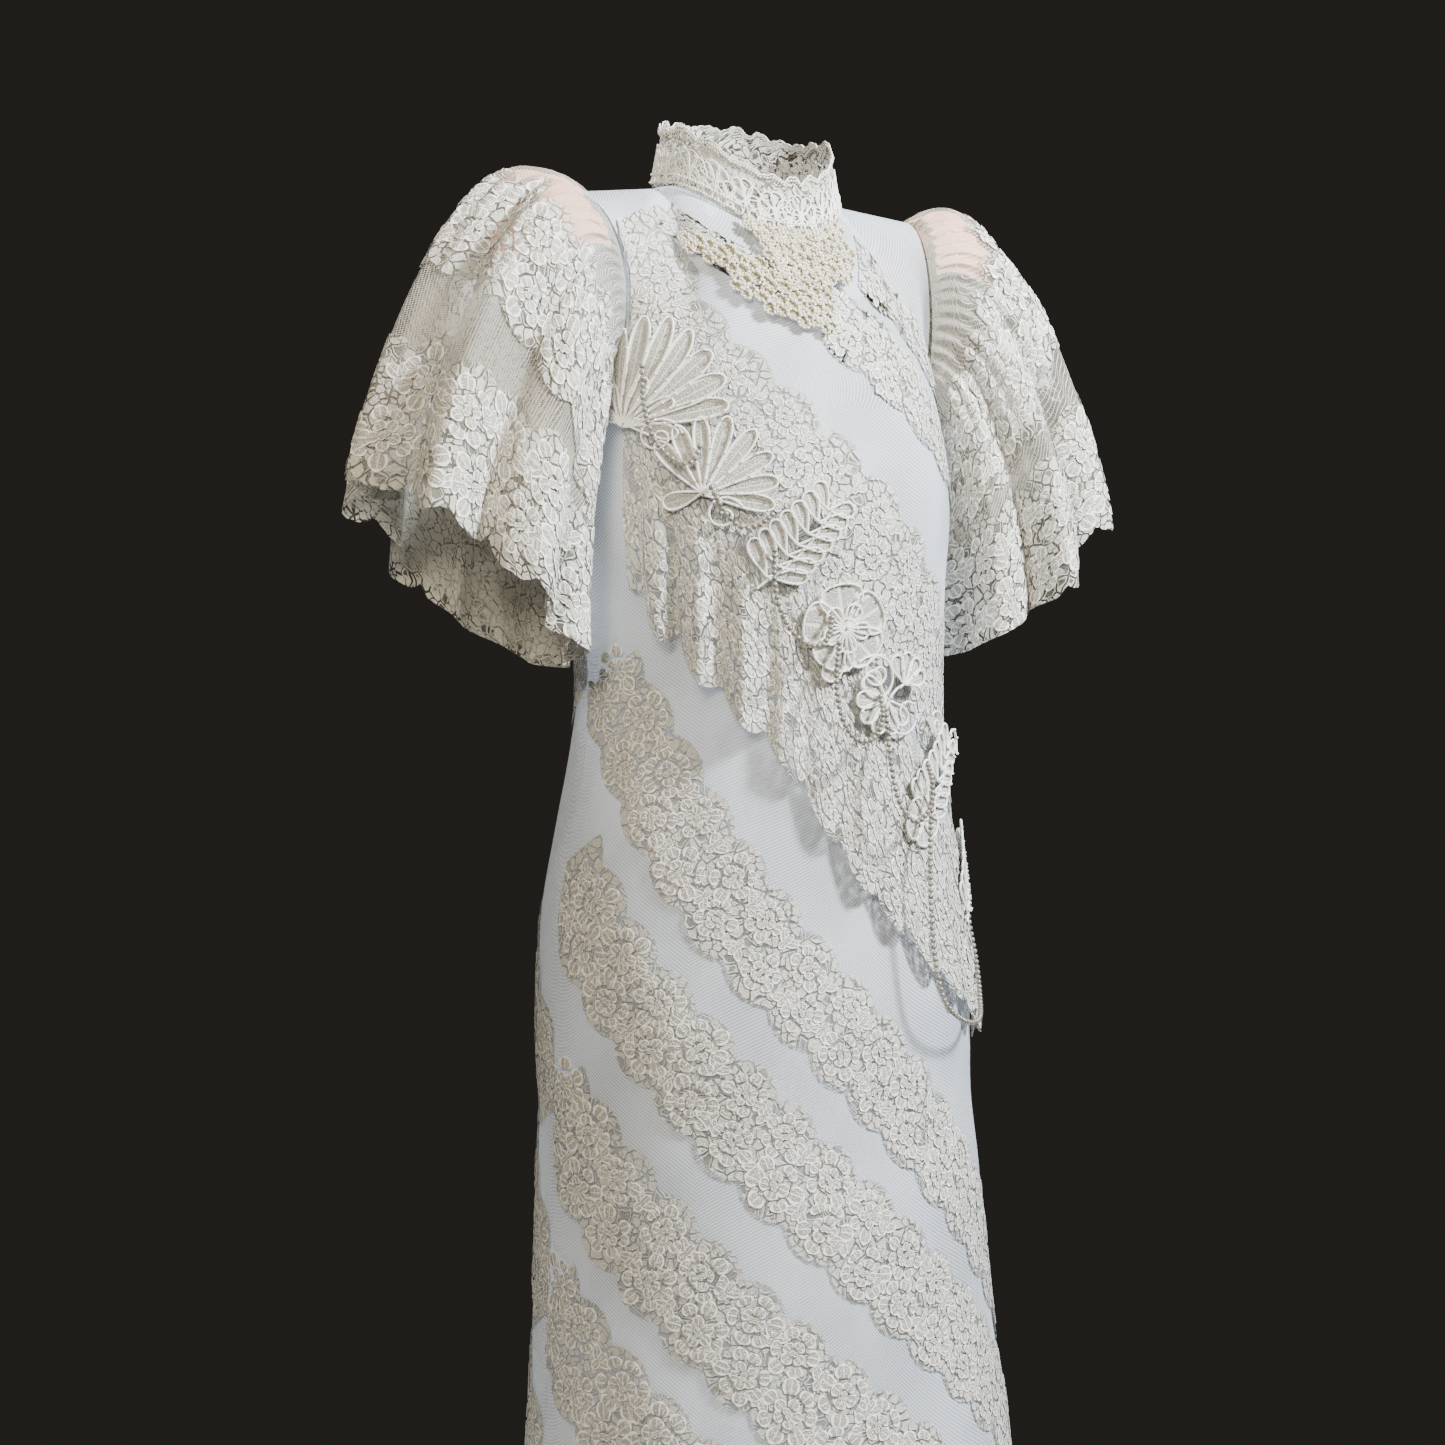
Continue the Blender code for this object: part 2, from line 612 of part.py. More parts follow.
for number in range(BUTTON_COUNT):
    height = BUTTON_FIRST_HEIGHT - number * BUTTON_SPACING
    column = BACK_COLUMNS - BUTTON_FROM_CLOSING
    seat = on_panel(BACK_LEFT, column, height, BUTTON_LIFT)
    axis = on_panel(BACK_LEFT, column, height, BUTTON_LIFT + 1) - seat
    sideways = np.cross(axis, (0, 0, 1))
    sideways /= np.linalg.norm(sideways)
    upward = np.cross(sideways, axis)
    points = []
    for ring, rise in BUTTON_RINGS:
        for step in range(BUTTON_SIDES):
            angle = 2 * math.pi * step / BUTTON_SIDES
            flat = sideways * math.cos(angle) + upward * math.sin(angle)
            points.append(seat + (flat * ring + axis * rise) * BUTTON_RADIUS)
    faces = [tuple(range(BUTTON_SIDES))]
    for ring in range(len(BUTTON_RINGS) - 1):
        for step in range(BUTTON_SIDES):
            low, high = ring * BUTTON_SIDES, (ring + 1) * BUTTON_SIDES
            after = (step + 1) % BUTTON_SIDES
            faces.append((low + after, low + step, high + step, high + after))
    last_ring = (len(BUTTON_RINGS) - 1) * BUTTON_SIDES
    faces.append(tuple(last_ring + step for step in reversed(range(BUTTON_SIDES))))
    add_object(f"button_{number + 1}", points, faces, COVERED_BUTTON)

# Pearl swags: strands of small round pearls, sewn to the motifs at both ends, which hang free between
PEARL_DIAMETER = 0.0042
SWAG_STEP = 3 * PEARL_DIAMETER
SWAG_SIDE_STEPS = 2

Swag = namedtuple("Swag", "name route")
SWAGS = (
    Swag(
        "armhole",
        (
            (-0.147, -0.068, -0.177),
            (-0.151, -0.076, -0.205),
            (-0.149, -0.088, -0.232),
            (-0.139, -0.101, -0.248),
            (-0.128, -0.108, -0.248),
            (-0.122, -0.107, -0.237),
        ),
    ),
    Swag(
        "shell",
        (
            (-0.117, -0.115, -0.267),
            (-0.114, -0.128, -0.285),
            (-0.105, -0.136, -0.296),
            (-0.093, -0.141, -0.295),
            (-0.079, -0.139, -0.287),
        ),
    ),
    Swag(
        "bust",
        (
            (-0.077, -0.139, -0.313),
            (-0.086, -0.152, -0.338),
            (-0.083, -0.159, -0.362),
            (-0.070, -0.163, -0.379),
            (-0.053, -0.163, -0.383),
            (-0.041, -0.158, -0.375),
            (-0.032, -0.149, -0.363),
        ),
    ),
    Swag(
        "flower",
        (
            (-0.025, -0.149, -0.382),
            (-0.038, -0.163, -0.410),
            (-0.037, -0.169, -0.436),
            (-0.025, -0.171, -0.453),
            (-0.007, -0.169, -0.452),
            (0.007, -0.161, -0.438),
            (0.015, -0.148, -0.423),
        ),
    ),
    Swag(
        "scroll",
        (
            (0.020, -0.148, -0.433),
            (0.012, -0.164, -0.468),
            (0.015, -0.171, -0.500),
            (0.030, -0.172, -0.517),
            (0.048, -0.167, -0.508),
            (0.060, -0.155, -0.490),
            (0.067, -0.141, -0.478),
        ),
    ),
    Swag(
        "hip",
        (
            (0.073, -0.140, -0.492),
            (0.056, -0.164, -0.540),
            (0.053, -0.174, -0.610),
            (0.064, -0.175, -0.655),
            (0.092, -0.166, -0.676),
            (0.125, -0.147, -0.681),
            (0.155, -0.121, -0.668),
            (0.173, -0.100, -0.642),
            (0.174, -0.086, -0.614),
            (0.168, -0.082, -0.591),
        ),
    ),
)


def smooth_line(route, step):
    """Points at even distances along a smooth curve through the points of a route."""
    route = np.array(route)
    ends = np.concatenate(((2 * route[0] - route[1],), route, (2 * route[-1] - route[-2],)))
    line = []
    for first in range(len(route) - 1):
        before, start, end, after = ends[first : first + 4]
        for share in np.linspace(0, 1, 16, endpoint=False):
            line.append(hermite(start, end, (end - before) / 2, (after - start) / 2, share))
    line = np.array([*line, route[-1]])
    length = np.linalg.norm(np.diff(line, axis=0), axis=1).sum()
    count = max(int(round(length / step)), 4)
    return np.concatenate((resampled(line, count), (route[-1],)))


def add_swag(name, route, material):
    points = smooth_line(route, SWAG_STEP)
    curve = bpy.data.curves.new(name, "CURVE")
    curve.dimensions = "3D"
    curve.bevel_depth = PEARL_DIAMETER / 2
    curve.bevel_resolution = SWAG_SIDE_STEPS
    curve.use_fill_caps = True
    spline = curve.splines.new("POLY")
    spline.points.add(len(points) - 1)
    for spline_point, point in zip(spline.points, points):
        spline_point.co = (*point, 1)
    curve.materials.append(material)
    bpy.context.scene.collection.objects.link(bpy.data.objects.new(name, curve))


for swag in SWAGS:
    add_swag(f"pearl_swag_{swag.name}", swag.route, PEARL)
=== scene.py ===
"""A full-length wedding dress of ivory net and lace, hanging in its worn shape.

Metres, +Z up. The front faces -Y and the wearer's right is at -X. The origin lies between the shoulders.
"""

import math
from collections import namedtuple

import bpy
import numpy as np
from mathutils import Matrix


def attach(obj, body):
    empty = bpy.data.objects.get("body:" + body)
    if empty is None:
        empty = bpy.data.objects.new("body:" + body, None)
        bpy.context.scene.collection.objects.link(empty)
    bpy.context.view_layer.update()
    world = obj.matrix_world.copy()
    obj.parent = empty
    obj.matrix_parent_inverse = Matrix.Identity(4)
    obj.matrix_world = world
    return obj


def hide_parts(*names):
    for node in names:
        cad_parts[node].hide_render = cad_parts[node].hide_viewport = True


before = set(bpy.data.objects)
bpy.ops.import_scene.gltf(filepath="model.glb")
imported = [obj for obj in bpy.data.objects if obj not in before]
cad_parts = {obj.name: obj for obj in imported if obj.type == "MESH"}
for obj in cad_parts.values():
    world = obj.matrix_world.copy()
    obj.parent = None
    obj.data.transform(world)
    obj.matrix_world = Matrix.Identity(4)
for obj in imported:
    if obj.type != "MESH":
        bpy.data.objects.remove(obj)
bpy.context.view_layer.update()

# Camera: two metres from the dress, before the wearer's right side and level with the ribs. It looks
# slightly down, and its frame ends below the hip.
CAMERA_TURN = math.radians(-35.0)
CAMERA_AIM = math.radians(-34.33)
CAMERA_DISTANCE = 2.013
CAMERA_HEIGHT = -0.318
CAMERA_TILT = math.radians(90 - 3.76)

camera_data = bpy.data.cameras.new("camera")
camera_data.sensor_width = 36.0
camera_data.lens = 62.68
camera = bpy.data.objects.new("camera", camera_data)
camera.location = (
    math.sin(CAMERA_TURN) * CAMERA_DISTANCE,
    -math.cos(CAMERA_TURN) * CAMERA_DISTANCE,
    CAMERA_HEIGHT,
)
camera.rotation_euler = (CAMERA_TILT, 0, CAMERA_AIM)
bpy.context.scene.collection.objects.link(camera)
bpy.context.scene.camera = camera

# Pearl swags: glass pearls threaded on cotton, each strand stitched to a lace motif at both ends and
# left to hang in a loop between them.
PEARL_DIAMETER = 0.0044
PEARL_SPACING = 0.0048
PEARLS_FORWARD = (-0.0010, -0.0014, 0.0)

Swag = namedtuple("Swag", "name route")
SWAGS = (
    Swag(
        "armhole",
        (
            (-0.147, -0.068, -0.177),
            (-0.151, -0.076, -0.205),
            (-0.149, -0.088, -0.232),
            (-0.139, -0.101, -0.248),
            (-0.128, -0.108, -0.248),
            (-0.122, -0.107, -0.237),
        ),
    ),
    Swag(
        "shell",
        (
            (-0.117, -0.115, -0.267),
            (-0.114, -0.128, -0.285),
            (-0.105, -0.136, -0.296),
            (-0.093, -0.141, -0.295),
            (-0.079, -0.139, -0.287),
        ),
    ),
    Swag(
        "bust",
        (
            (-0.077, -0.139, -0.313),
            (-0.086, -0.152, -0.338),
            (-0.083, -0.159, -0.362),
            (-0.070, -0.163, -0.379),
            (-0.053, -0.163, -0.383),
            (-0.041, -0.158, -0.375),
            (-0.032, -0.149, -0.363),
        ),
    ),
    Swag(
        "flower",
        (
            (-0.025, -0.149, -0.382),
            (-0.038, -0.163, -0.410),
            (-0.037, -0.169, -0.436),
            (-0.025, -0.171, -0.453),
            (-0.007, -0.169, -0.452),
            (0.007, -0.161, -0.438),
            (0.015, -0.148, -0.423),
        ),
    ),
    Swag(
        "scroll",
        (
            (0.020, -0.148, -0.433),
            (0.012, -0.164, -0.468),
            (0.015, -0.171, -0.500),
            (0.030, -0.172, -0.517),
            (0.048, -0.167, -0.508),
            (0.060, -0.155, -0.490),
            (0.067, -0.141, -0.478),
        ),
    ),
    Swag(
        "hip",
        (
            (0.073, -0.140, -0.492),
            (0.055, -0.159, -0.540),
            (0.052, -0.167, -0.610),
            (0.062, -0.168, -0.655),
            (0.089, -0.159, -0.676),
            (0.120, -0.141, -0.681),
            (0.145, -0.112, -0.668),
            (0.159, -0.090, -0.642),
            (0.161, -0.079, -0.614),
            (0.161, -0.078, -0.591),
        ),
    ),
)


def hermite(start, end, start_slope, end_slope, share):
    """A cubic from start to end with the given slopes at its ends."""
    square = share * share
    cube = square * share
    return (
        (2 * cube - 3 * square + 1) * start
        + (cube - 2 * square + share) * start_slope
        + (3 * square - 2 * cube) * end
        + (cube - square) * end_slope
    )


def smooth_line(route, step):
    """Points at even distances along a smooth curve through the points of a route."""
    route = np.array(route)
    ends = np.concatenate(((2 * route[0] - route[1],), route, (2 * route[-1] - route[-2],)))
    line = []
    for first in range(len(route) - 1):
        before, start, end, after = ends[first : first + 4]
        for share in np.linspace(0, 1, 16, endpoint=False):
            line.append(hermite(start, end, (end - before) / 2, (after - start) / 2, share))
    line = np.array([*line, route[-1]])
    along = np.concatenate(((0.0,), np.cumsum(np.linalg.norm(np.diff(line, axis=0), axis=1))))
    wanted = np.linspace(0, along[-1], max(int(round(along[-1] / step)), 4) + 1)
    return np.array([[np.interp(at, along, line[:, axis]) for axis in range(3)] for at in wanted])


def new_material(name, colour, roughness):
    """A material with its main shader, ready for the nodes of its own weave."""
    material = bpy.data.materials.new(name)
    material.use_nodes = True
    shader = material.node_tree.nodes["Principled BSDF"]
    shader.inputs["Base Color"].default_value = (*colour, 1)
    shader.inputs["Roughness"].default_value = roughness
    return material, material.node_tree, shader


def add_node(tree, kind, settings=(), **inputs):
    """A shader or geometry node with its settings, and its inputs set to values or linked to sockets."""
    node = tree.nodes.new(kind)
    for key, value in dict(settings).items():
        setattr(node, key, value)
    for key, value in inputs.items():
        numbered = key[0] == "i" and key[1:].isdigit()
        socket = node.inputs[int(key[1:]) if numbered else key.replace("_", " ")]
        if isinstance(value, bpy.types.NodeSocket):
            tree.links.new(value, socket)
        else:
            socket.default_value = value
    return node


def combine(tree, operation, *values):
    """The result socket of one step of arithmetic."""
    return add_node(
        tree, "ShaderNodeMath", {"operation": operation}, **{f"i{n}": value for n, value in enumerate(values)}
    ).outputs[0]


def ramp(tree, value, low, high, low_result=0.0, high_result=1.0):
    """A value brought smoothly from one range to another."""
    node = add_node(tree, "ShaderNodeMapRange", {"interpolation_type": "SMOOTHSTEP"})
    tree.links.new(value, node.inputs["Value"])
    limits = {"From Min": low, "From Max": high, "To Min": low_result, "To Max": high_result}
    for name, number in limits.items():
        node.inputs[name].default_value = number
    return node.outputs[0]


def own_place(tree):
    """The place on the piece in its own coordinates."""
    return add_node(tree, "ShaderNodeTexCoord").outputs["Object"]


def two_tone(tree, shader, share, low, high):
    """A colour that runs from one tone at share 0 to another at share 1."""
    mixed = add_node(tree, "ShaderNodeMix", {"data_type": "RGBA"}, i0=share)
    mixed.inputs[6].default_value = (*low, 1)
    mixed.inputs[7].default_value = (*high, 1)
    tree.links.new(mixed.outputs[2], shader.inputs["Base Color"])


def relief(tree, shader, height, strength, distance):
    """Fine relief in the shader's normal."""
    bump = add_node(tree, "ShaderNodeBump", Strength=strength, Distance=distance, Height=height)
    tree.links.new(bump.outputs[0], shader.inputs["Normal"])


def pearl_material(name, colour, shade):
    """A glossy bead with a faint cloud of a second tone."""
    material, tree, shader = new_material(name, colour, 0.28)
    cloud = add_node(tree, "ShaderNodeTexNoise", Vector=own_place(tree), Scale=260.0, Detail=1.0)
    two_tone(tree, shader, ramp(tree, cloud.outputs["Fac"], 0.35, 0.65), colour, shade)
    shader.inputs["Coat Weight"].default_value = 0.9
    shader.inputs["Coat Roughness"].default_value = 0.18
    shader.inputs["Specular IOR Level"].default_value = 0.7
    return material


# The pearls' dark grey-brown is partly their own grey and partly painted reflection, standing in for the dark
# surroundings mirrored in the glossy glass.
PEARL = pearl_material("glass pearl", (0.27, 0.25, 0.215), (0.15, 0.14, 0.12))


def bead_tree(name, material):
    """Geometry nodes that thread round beads along a curve at an even spacing."""
    tree = bpy.data.node_groups.new(name, "GeometryNodeTree")
    tree.interface.new_socket("Geometry", in_out="INPUT", socket_type="NodeSocketGeometry")
    for socket in ("Spacing", "Diameter"):
        tree.interface.new_socket(socket, in_out="INPUT", socket_type="NodeSocketFloat")
    tree.interface.new_socket("Geometry", in_out="OUTPUT", socket_type="NodeSocketGeometry")
    source = tree.nodes.new("NodeGroupInput")
    diameter = source.outputs["Diameter"]
    radius = add_node(tree, "ShaderNodeMath", {"operation": "MULTIPLY"}, i0=diameter, i1=0.5)
    spaced = tree.nodes.new("GeometryNodeResampleCurve")
    spaced.mode = "LENGTH"
    tree.links.new(source.outputs["Geometry"], spaced.inputs["Curve"])
    tree.links.new(source.outputs["Spacing"], spaced.inputs["Length"])
    bead = add_node(tree, "GeometryNodeMeshUVSphere", Segments=10, Rings=6, Radius=radius.outputs[0])
    strung = add_node(
        tree, "GeometryNodeInstanceOnPoints", Points=spaced.outputs["Curve"], Instance=bead.outputs["Mesh"]
    )
    solid = add_node(tree, "GeometryNodeRealizeInstances", Geometry=strung.outputs["Instances"])
    smooth = add_node(tree, "GeometryNodeSetShadeSmooth", Geometry=solid.outputs["Geometry"])
    finished = add_node(
        tree, "GeometryNodeSetMaterial", Geometry=smooth.outputs["Geometry"], Material=material
    )
    tree.links.new(finished.outputs["Geometry"], tree.nodes.new("NodeGroupOutput").inputs["Geometry"])
    return tree


def thread_beads(name, tree, lines, spacing, diameter):
    """Beads threaded along lines of points, as one plain mesh."""
    curve = bpy.data.curves.new(name + "_line", "CURVE")
    curve.dimensions = "3D"
    for line in lines:
        spline = curve.splines.new("POLY")
        spline.points.add(len(line) - 1)
        for spline_point, point in zip(spline.points, line):
            spline_point.co = (*point, 1)
    guide = bpy.data.objects.new(name + "_line", curve)
    bpy.context.scene.collection.objects.link(guide)
    modifier = guide.modifiers.new("beads", "NODES")
    modifier.node_group = tree
    names = {item.name: item.identifier for item in tree.interface.items_tree if item.in_out == "INPUT"}
    modifier[names["Spacing"]] = spacing
    modifier[names["Diameter"]] = diameter
    evaluated = guide.evaluated_get(bpy.context.evaluated_depsgraph_get())
    mesh = bpy.data.meshes.new_from_object(evaluated)
    bpy.data.objects.remove(guide, do_unlink=True)
    made = bpy.data.objects.new(name, mesh)
    bpy.context.scene.collection.objects.link(made)
    return made


pearl_beads = bead_tree("pearls on a strand", PEARL)
for swag in SWAGS:
    line = smooth_line(swag.route, 0.004) + np.array(PEARLS_FORWARD)
    strand = thread_beads(f"pearls_{swag.name}", pearl_beads, [line], PEARL_SPACING, PEARL_DIAMETER)
    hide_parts(f"pearl_swag_{swag.name}")
    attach(strand, "root")

# Sheath: three panels of fine ivory net, the front in one piece and the back in two halves, seamed at
# the shoulders and sides and closed down the centre back. It hangs straight, with soft folds below the hip.
HEM_HEIGHT = -1.42
UNDERARM_HEIGHT = -0.205
SHOULDER_TIP = (0.160, 0.004, -0.042)
NECK_HALF_WIDTH = 0.078
NECK_FRONT_DEPTH = 0.072
NECK_BACK_DEPTH = 0.060
NECK_CENTRE_BACKWARD = 0.012
NECK_HEIGHTS = {"front": -0.073, "side": -0.032, "back": -0.017}
NECK_SHARE = 0.5
NET_COLUMNS = 96
YOKE_ROWS = 24
SKIRT_ROWS = 120

Section = namedtuple("Section", "height half_width front_depth back_depth to_left")
SECTIONS = (
    Section(-1.420, 0.240, 0.222, 0.142, 0.012),
    Section(-1.220, 0.222, 0.206, 0.130, 0.012),
    Section(-1.028, 0.206, 0.190, 0.120, 0.010),
    Section(-0.904, 0.196, 0.172, 0.122, 0.006),
    Section(-0.816, 0.191, 0.163, 0.127, 0.005),
    Section(-0.752, 0.187, 0.153, 0.131, 0.004),
    Section(-0.672, 0.186, 0.149, 0.136, 0.003),
    Section(-0.592, 0.179, 0.139, 0.135, 0.001),
    Section(-0.536, 0.171, 0.136, 0.125, 0.002),
    Section(-0.472, 0.160, 0.134, 0.110, 0.003),
    Section(-0.416, 0.156, 0.134, 0.101, 0.004),
    Section(-0.340, 0.160, 0.139, 0.096, 0.003),
    Section(-0.270, 0.163, 0.141, 0.096, 0.002),
    Section(-0.205, 0.157, 0.128, 0.092, 0.000),
)

Fold = namedtuple("Fold", "turn width depth top bottom")
FOLDS = (
    Fold(-82, 10, 0.009, -0.60, -1.42),
    Fold(-62, 8, 0.007, -0.70, -1.42),
    Fold(-30, 12, 0.004, -0.95, -1.42),
    Fold(12, 13, 0.005, -1.00, -1.42),
    Fold(48, 11, 0.004, -0.85, -1.42),
    Fold(80, 10, 0.005, -0.70, -1.42),
    Fold(112, 11, 0.005, -0.72, -1.42),
    Fold(150, 13, 0.006, -0.80, -1.42),
    Fold(208, 12, 0.005, -0.76, -1.42),
    Fold(246, 10, 0.006, -0.66, -1.42),
)


def eased(value):
    """0 below 0, 1 above 1, and a soft step between."""
    value = np.clip(value, 0.0, 1.0)
    return value * value * (3 - 2 * value)


def section_size(field, height):
    """One size of the sheath's section at each height, smooth between the rows of SECTIONS."""
    heights = np.array([row.height for row in SECTIONS])
    values = np.array([getattr(row, field) for row in SECTIONS])
    slopes = np.gradient(values, heights)
    low = np.clip(np.searchsorted(heights, height) - 1, 0, len(heights) - 2)
    step = heights[low + 1] - heights[low]
    share = (height - heights[low]) / step
    return hermite(values[low], values[low + 1], slopes[low] * step, slopes[low + 1] * step, share)


def fold_depth(turn, height):
    """How far the cloth stands out at each turn in degrees from the centre front, with small creases."""
    total = 0.0006 * np.sin(turn * 0.21 + height * 38) * np.sin(height * 23 + turn * 0.05)
    for fold in FOLDS:
        away = (turn - fold.turn - 6 * np.sin(height * 5 + fold.turn) + 180) % 360 - 180
        along = eased((fold.top - height) / (fold.top - fold.bottom))
        total = total + fold.depth * along * np.exp(-((away / fold.width) ** 2))
    return total


def sheath_points(turn, height):
    """Points of the sheath below the armholes. Turn 0 is the centre front, 90 the wearer's left side."""
    angle = np.radians(turn)
    half_width = section_size("half_width", height)
    out = 1 + fold_depth(turn, height) / half_width
    front, back = (section_size(f"{part}_depth", height) for part in ("front", "back"))
    depth = np.where(np.cos(angle) > 0, front, back)
    x = section_size("to_left", height) + half_width * np.sin(angle) * out
    return np.stack(np.broadcast_arrays(x, -depth * np.cos(angle) * out, height), -1)


def top_edge_points(across, facing):
    """Points of the neck and shoulder edge. Across runs from -1 to 1; facing is -1 in front, 1 behind."""
    side = np.where(across < 0, -1.0, 1.0)
    share = (np.abs(across) - NECK_SHARE) / (1 - NECK_SHARE)
    neck_side = np.array((NECK_HALF_WIDTH, NECK_CENTRE_BACKWARD, NECK_HEIGHTS["side"]))
    shoulder = neck_side + (np.array(SHOULDER_TIP) - neck_side) * np.clip(share, 0, 1)[..., None]
    shoulder = shoulder * np.stack((side, np.ones_like(side), np.ones_like(side)), -1)
    angle = np.minimum(np.abs(across) / NECK_SHARE, 1) * math.pi / 2
    depth = NECK_FRONT_DEPTH if facing < 0 else NECK_BACK_DEPTH
    middle = NECK_HEIGHTS["front" if facing < 0 else "back"]
    rise = NECK_HEIGHTS["side"] + (middle - NECK_HEIGHTS["side"]) * np.cos(angle) ** 2
    aside, forward = side * NECK_HALF_WIDTH * np.sin(angle), facing * depth * np.cos(angle)
    neck = np.stack((aside, NECK_CENTRE_BACKWARD + forward, rise), -1)
    return np.where((np.abs(across) > NECK_SHARE)[..., None], shoulder, neck)


def yoke_points(across, share, facing):
    """Points between the top edge (share 0) and the underarm line (share 1)."""
    turn = across * 90 if facing < 0 else 180 - across * 90
    top = top_edge_points(across, facing)
    height = np.full_like(across, UNDERARM_HEIGHT)
    low = sheath_points(turn, height)
    drop = low - top
    over_shoulder = eased((np.abs(across) - 0.35) / 0.3)[..., None]
    facing_out = np.zeros_like(drop)
    facing_out[..., 1] = facing
    chest_start = drop * (1.0, 1.4, 0.6)
    shoulder_start = drop * (1, 0, 0) + facing_out * 0.12 + np.array((0, 0, -0.03))
    start_slope = chest_start * (1 - over_shoulder) + shoulder_start * over_shoulder
    below = sheath_points(turn, height - 0.02)
    end_slope = (below - low) / 0.02 * np.abs(drop[..., 2:])
    scoop = (np.abs(across) ** 6)[..., None]
    inward = np.where(across < 0, 0.06, -0.06)[..., None] * np.array((1.0, 0, 0))
    start_slope = start_slope * (1 - scoop) + (inward + facing_out * 0.19 + (0, 0, -0.05)) * scoop
    end_slope = end_slope * (1 - scoop) + (-inward - facing_out * 0.19 + (0, 0, -0.05)) * scoop
    return hermite(top, low, start_slope, end_slope, share)


def panel_points(facing):
    """Rows of points from the top edge to the hem; columns run counterclockwise seen from above."""
    columns = np.linspace(-1, 1, NET_COLUMNS + 1)
    across = columns if facing < 0 else -columns
    rows = [yoke_points(across, share, facing) for share in np.linspace(0, 1, YOKE_ROWS + 1)[:-1]]
    turn = across * 90 if facing < 0 else 180 - across * 90
    for height in np.linspace(UNDERARM_HEIGHT, HEM_HEIGHT, SKIRT_ROWS + 1):
        rows.append(sheath_points(turn, np.full_like(across, height)))
    return np.array(rows)


def outward(points):
    """Unit directions off a grid of points, towards the outside of the dress."""
    normal = np.cross(np.gradient(points, axis=0), np.gradient(points, axis=1))
    return normal / np.maximum(np.linalg.norm(normal, axis=2, keepdims=True), 1e-12)


class Cloth:
    """A grid of cloth that trims are laid on: any column and row, with a distance off its face."""

    def __init__(self, points, normals):
        self.points, self.normals = points, normals
        self.rows, self.columns = points.shape[:2]
        across = np.linalg.norm(np.diff(points, axis=1), axis=2)
        down = np.linalg.norm(np.diff(points, axis=0), axis=2)
        self.across = np.concatenate((np.zeros((self.rows, 1)), np.cumsum(across, axis=1)), axis=1)
        self.down = np.concatenate((np.zeros((1, self.columns)), np.cumsum(down, axis=0)), axis=0)
        self.flat = np.stack((self.across, self.down), -1)

    def at(self, column, row, away):
        """Points at fractional columns and rows, moved out from the face."""
        column = np.clip(column, 0, self.columns - 1.0001)
        row = np.clip(row, 0, self.rows - 1.0001)
        left, upper = np.floor(column).astype(int), np.floor(row).astype(int)
        right_share, lower_share = (column - left)[..., None], (row - upper)[..., None]

        def blend(grid):
            top = grid[upper, left] * (1 - right_share) + grid[upper, left + 1] * right_share
            foot = grid[upper + 1, left] * (1 - right_share) + grid[upper + 1, left + 1] * right_share
            return top * (1 - lower_share) + foot * lower_share

        normal = blend(self.normals)
        normal = normal / np.maximum(np.linalg.norm(normal, axis=-1, keepdims=True), 1e-12)
        return blend(self.points) + normal * np.asarray(away)[..., None]

    def beside(self, column, row, sideways, upwards):
        """The column and row that lie at real distances beside and above a place on the cloth."""
        across = self.across[int(np.clip(round(row), 0, self.rows - 1))]
        down = self.down[:, int(np.clip(round(column), 0, self.columns - 1))]
        numbers = np.arange(self.columns)
        there = np.interp(np.interp(column, numbers, across) + sideways, across, numbers)
        numbers = np.arange(self.rows)
        return there, np.interp(np.interp(row, numbers, down) - upwards, down, numbers)


def add_mesh(name, points, faces, material, coordinates=None):
    """A mesh of points and faces with every sliver left out, and its own flat coordinates."""
    points, faces = np.asarray(points, dtype=float), np.asarray(faces)
    first, second = points[faces[:, 2]] - points[faces[:, 0]], points[faces[:, -1]] - points[faces[:, 1]]
    faces = faces[np.linalg.norm(np.cross(first, second), axis=1) > 2e-8]
    used, index = np.unique(faces, return_inverse=True)
    faces = index.reshape(faces.shape)
    mesh = bpy.data.meshes.new(name)
    mesh.from_pydata(points[used].tolist(), [], faces.tolist())
    mesh.materials.append(material)
    mesh.shade_smooth()
    if coordinates is not None:
        layer = mesh.uv_layers.new(name="flat")
        flat = np.asarray(coordinates, dtype=float)[used][faces.reshape(-1)]
        layer.data.foreach_set("uv", flat.reshape(-1))
    made = bpy.data.objects.new(name, mesh)
    bpy.context.scene.collection.objects.link(made)
    return made


def grid_faces(rows, columns, first=0):
    """Quads between rows of points, facing out where rows run down and columns counterclockwise."""
    row, column = np.meshgrid(np.arange(rows - 1), np.arange(columns - 1), indexing="ij")
    corner = (first + row * columns + column).reshape(-1)
    return np.stack((corner, corner + columns, corner + columns + 1, corner + 1), 1)


def add_cloth(name, points, material, flat):
    """A grid of points as one piece of cloth, with the flat coordinates of its weave."""
    return add_mesh(name, points.reshape(-1, 3), grid_faces(*points.shape[:2]), material, flat.reshape(-1, 2))


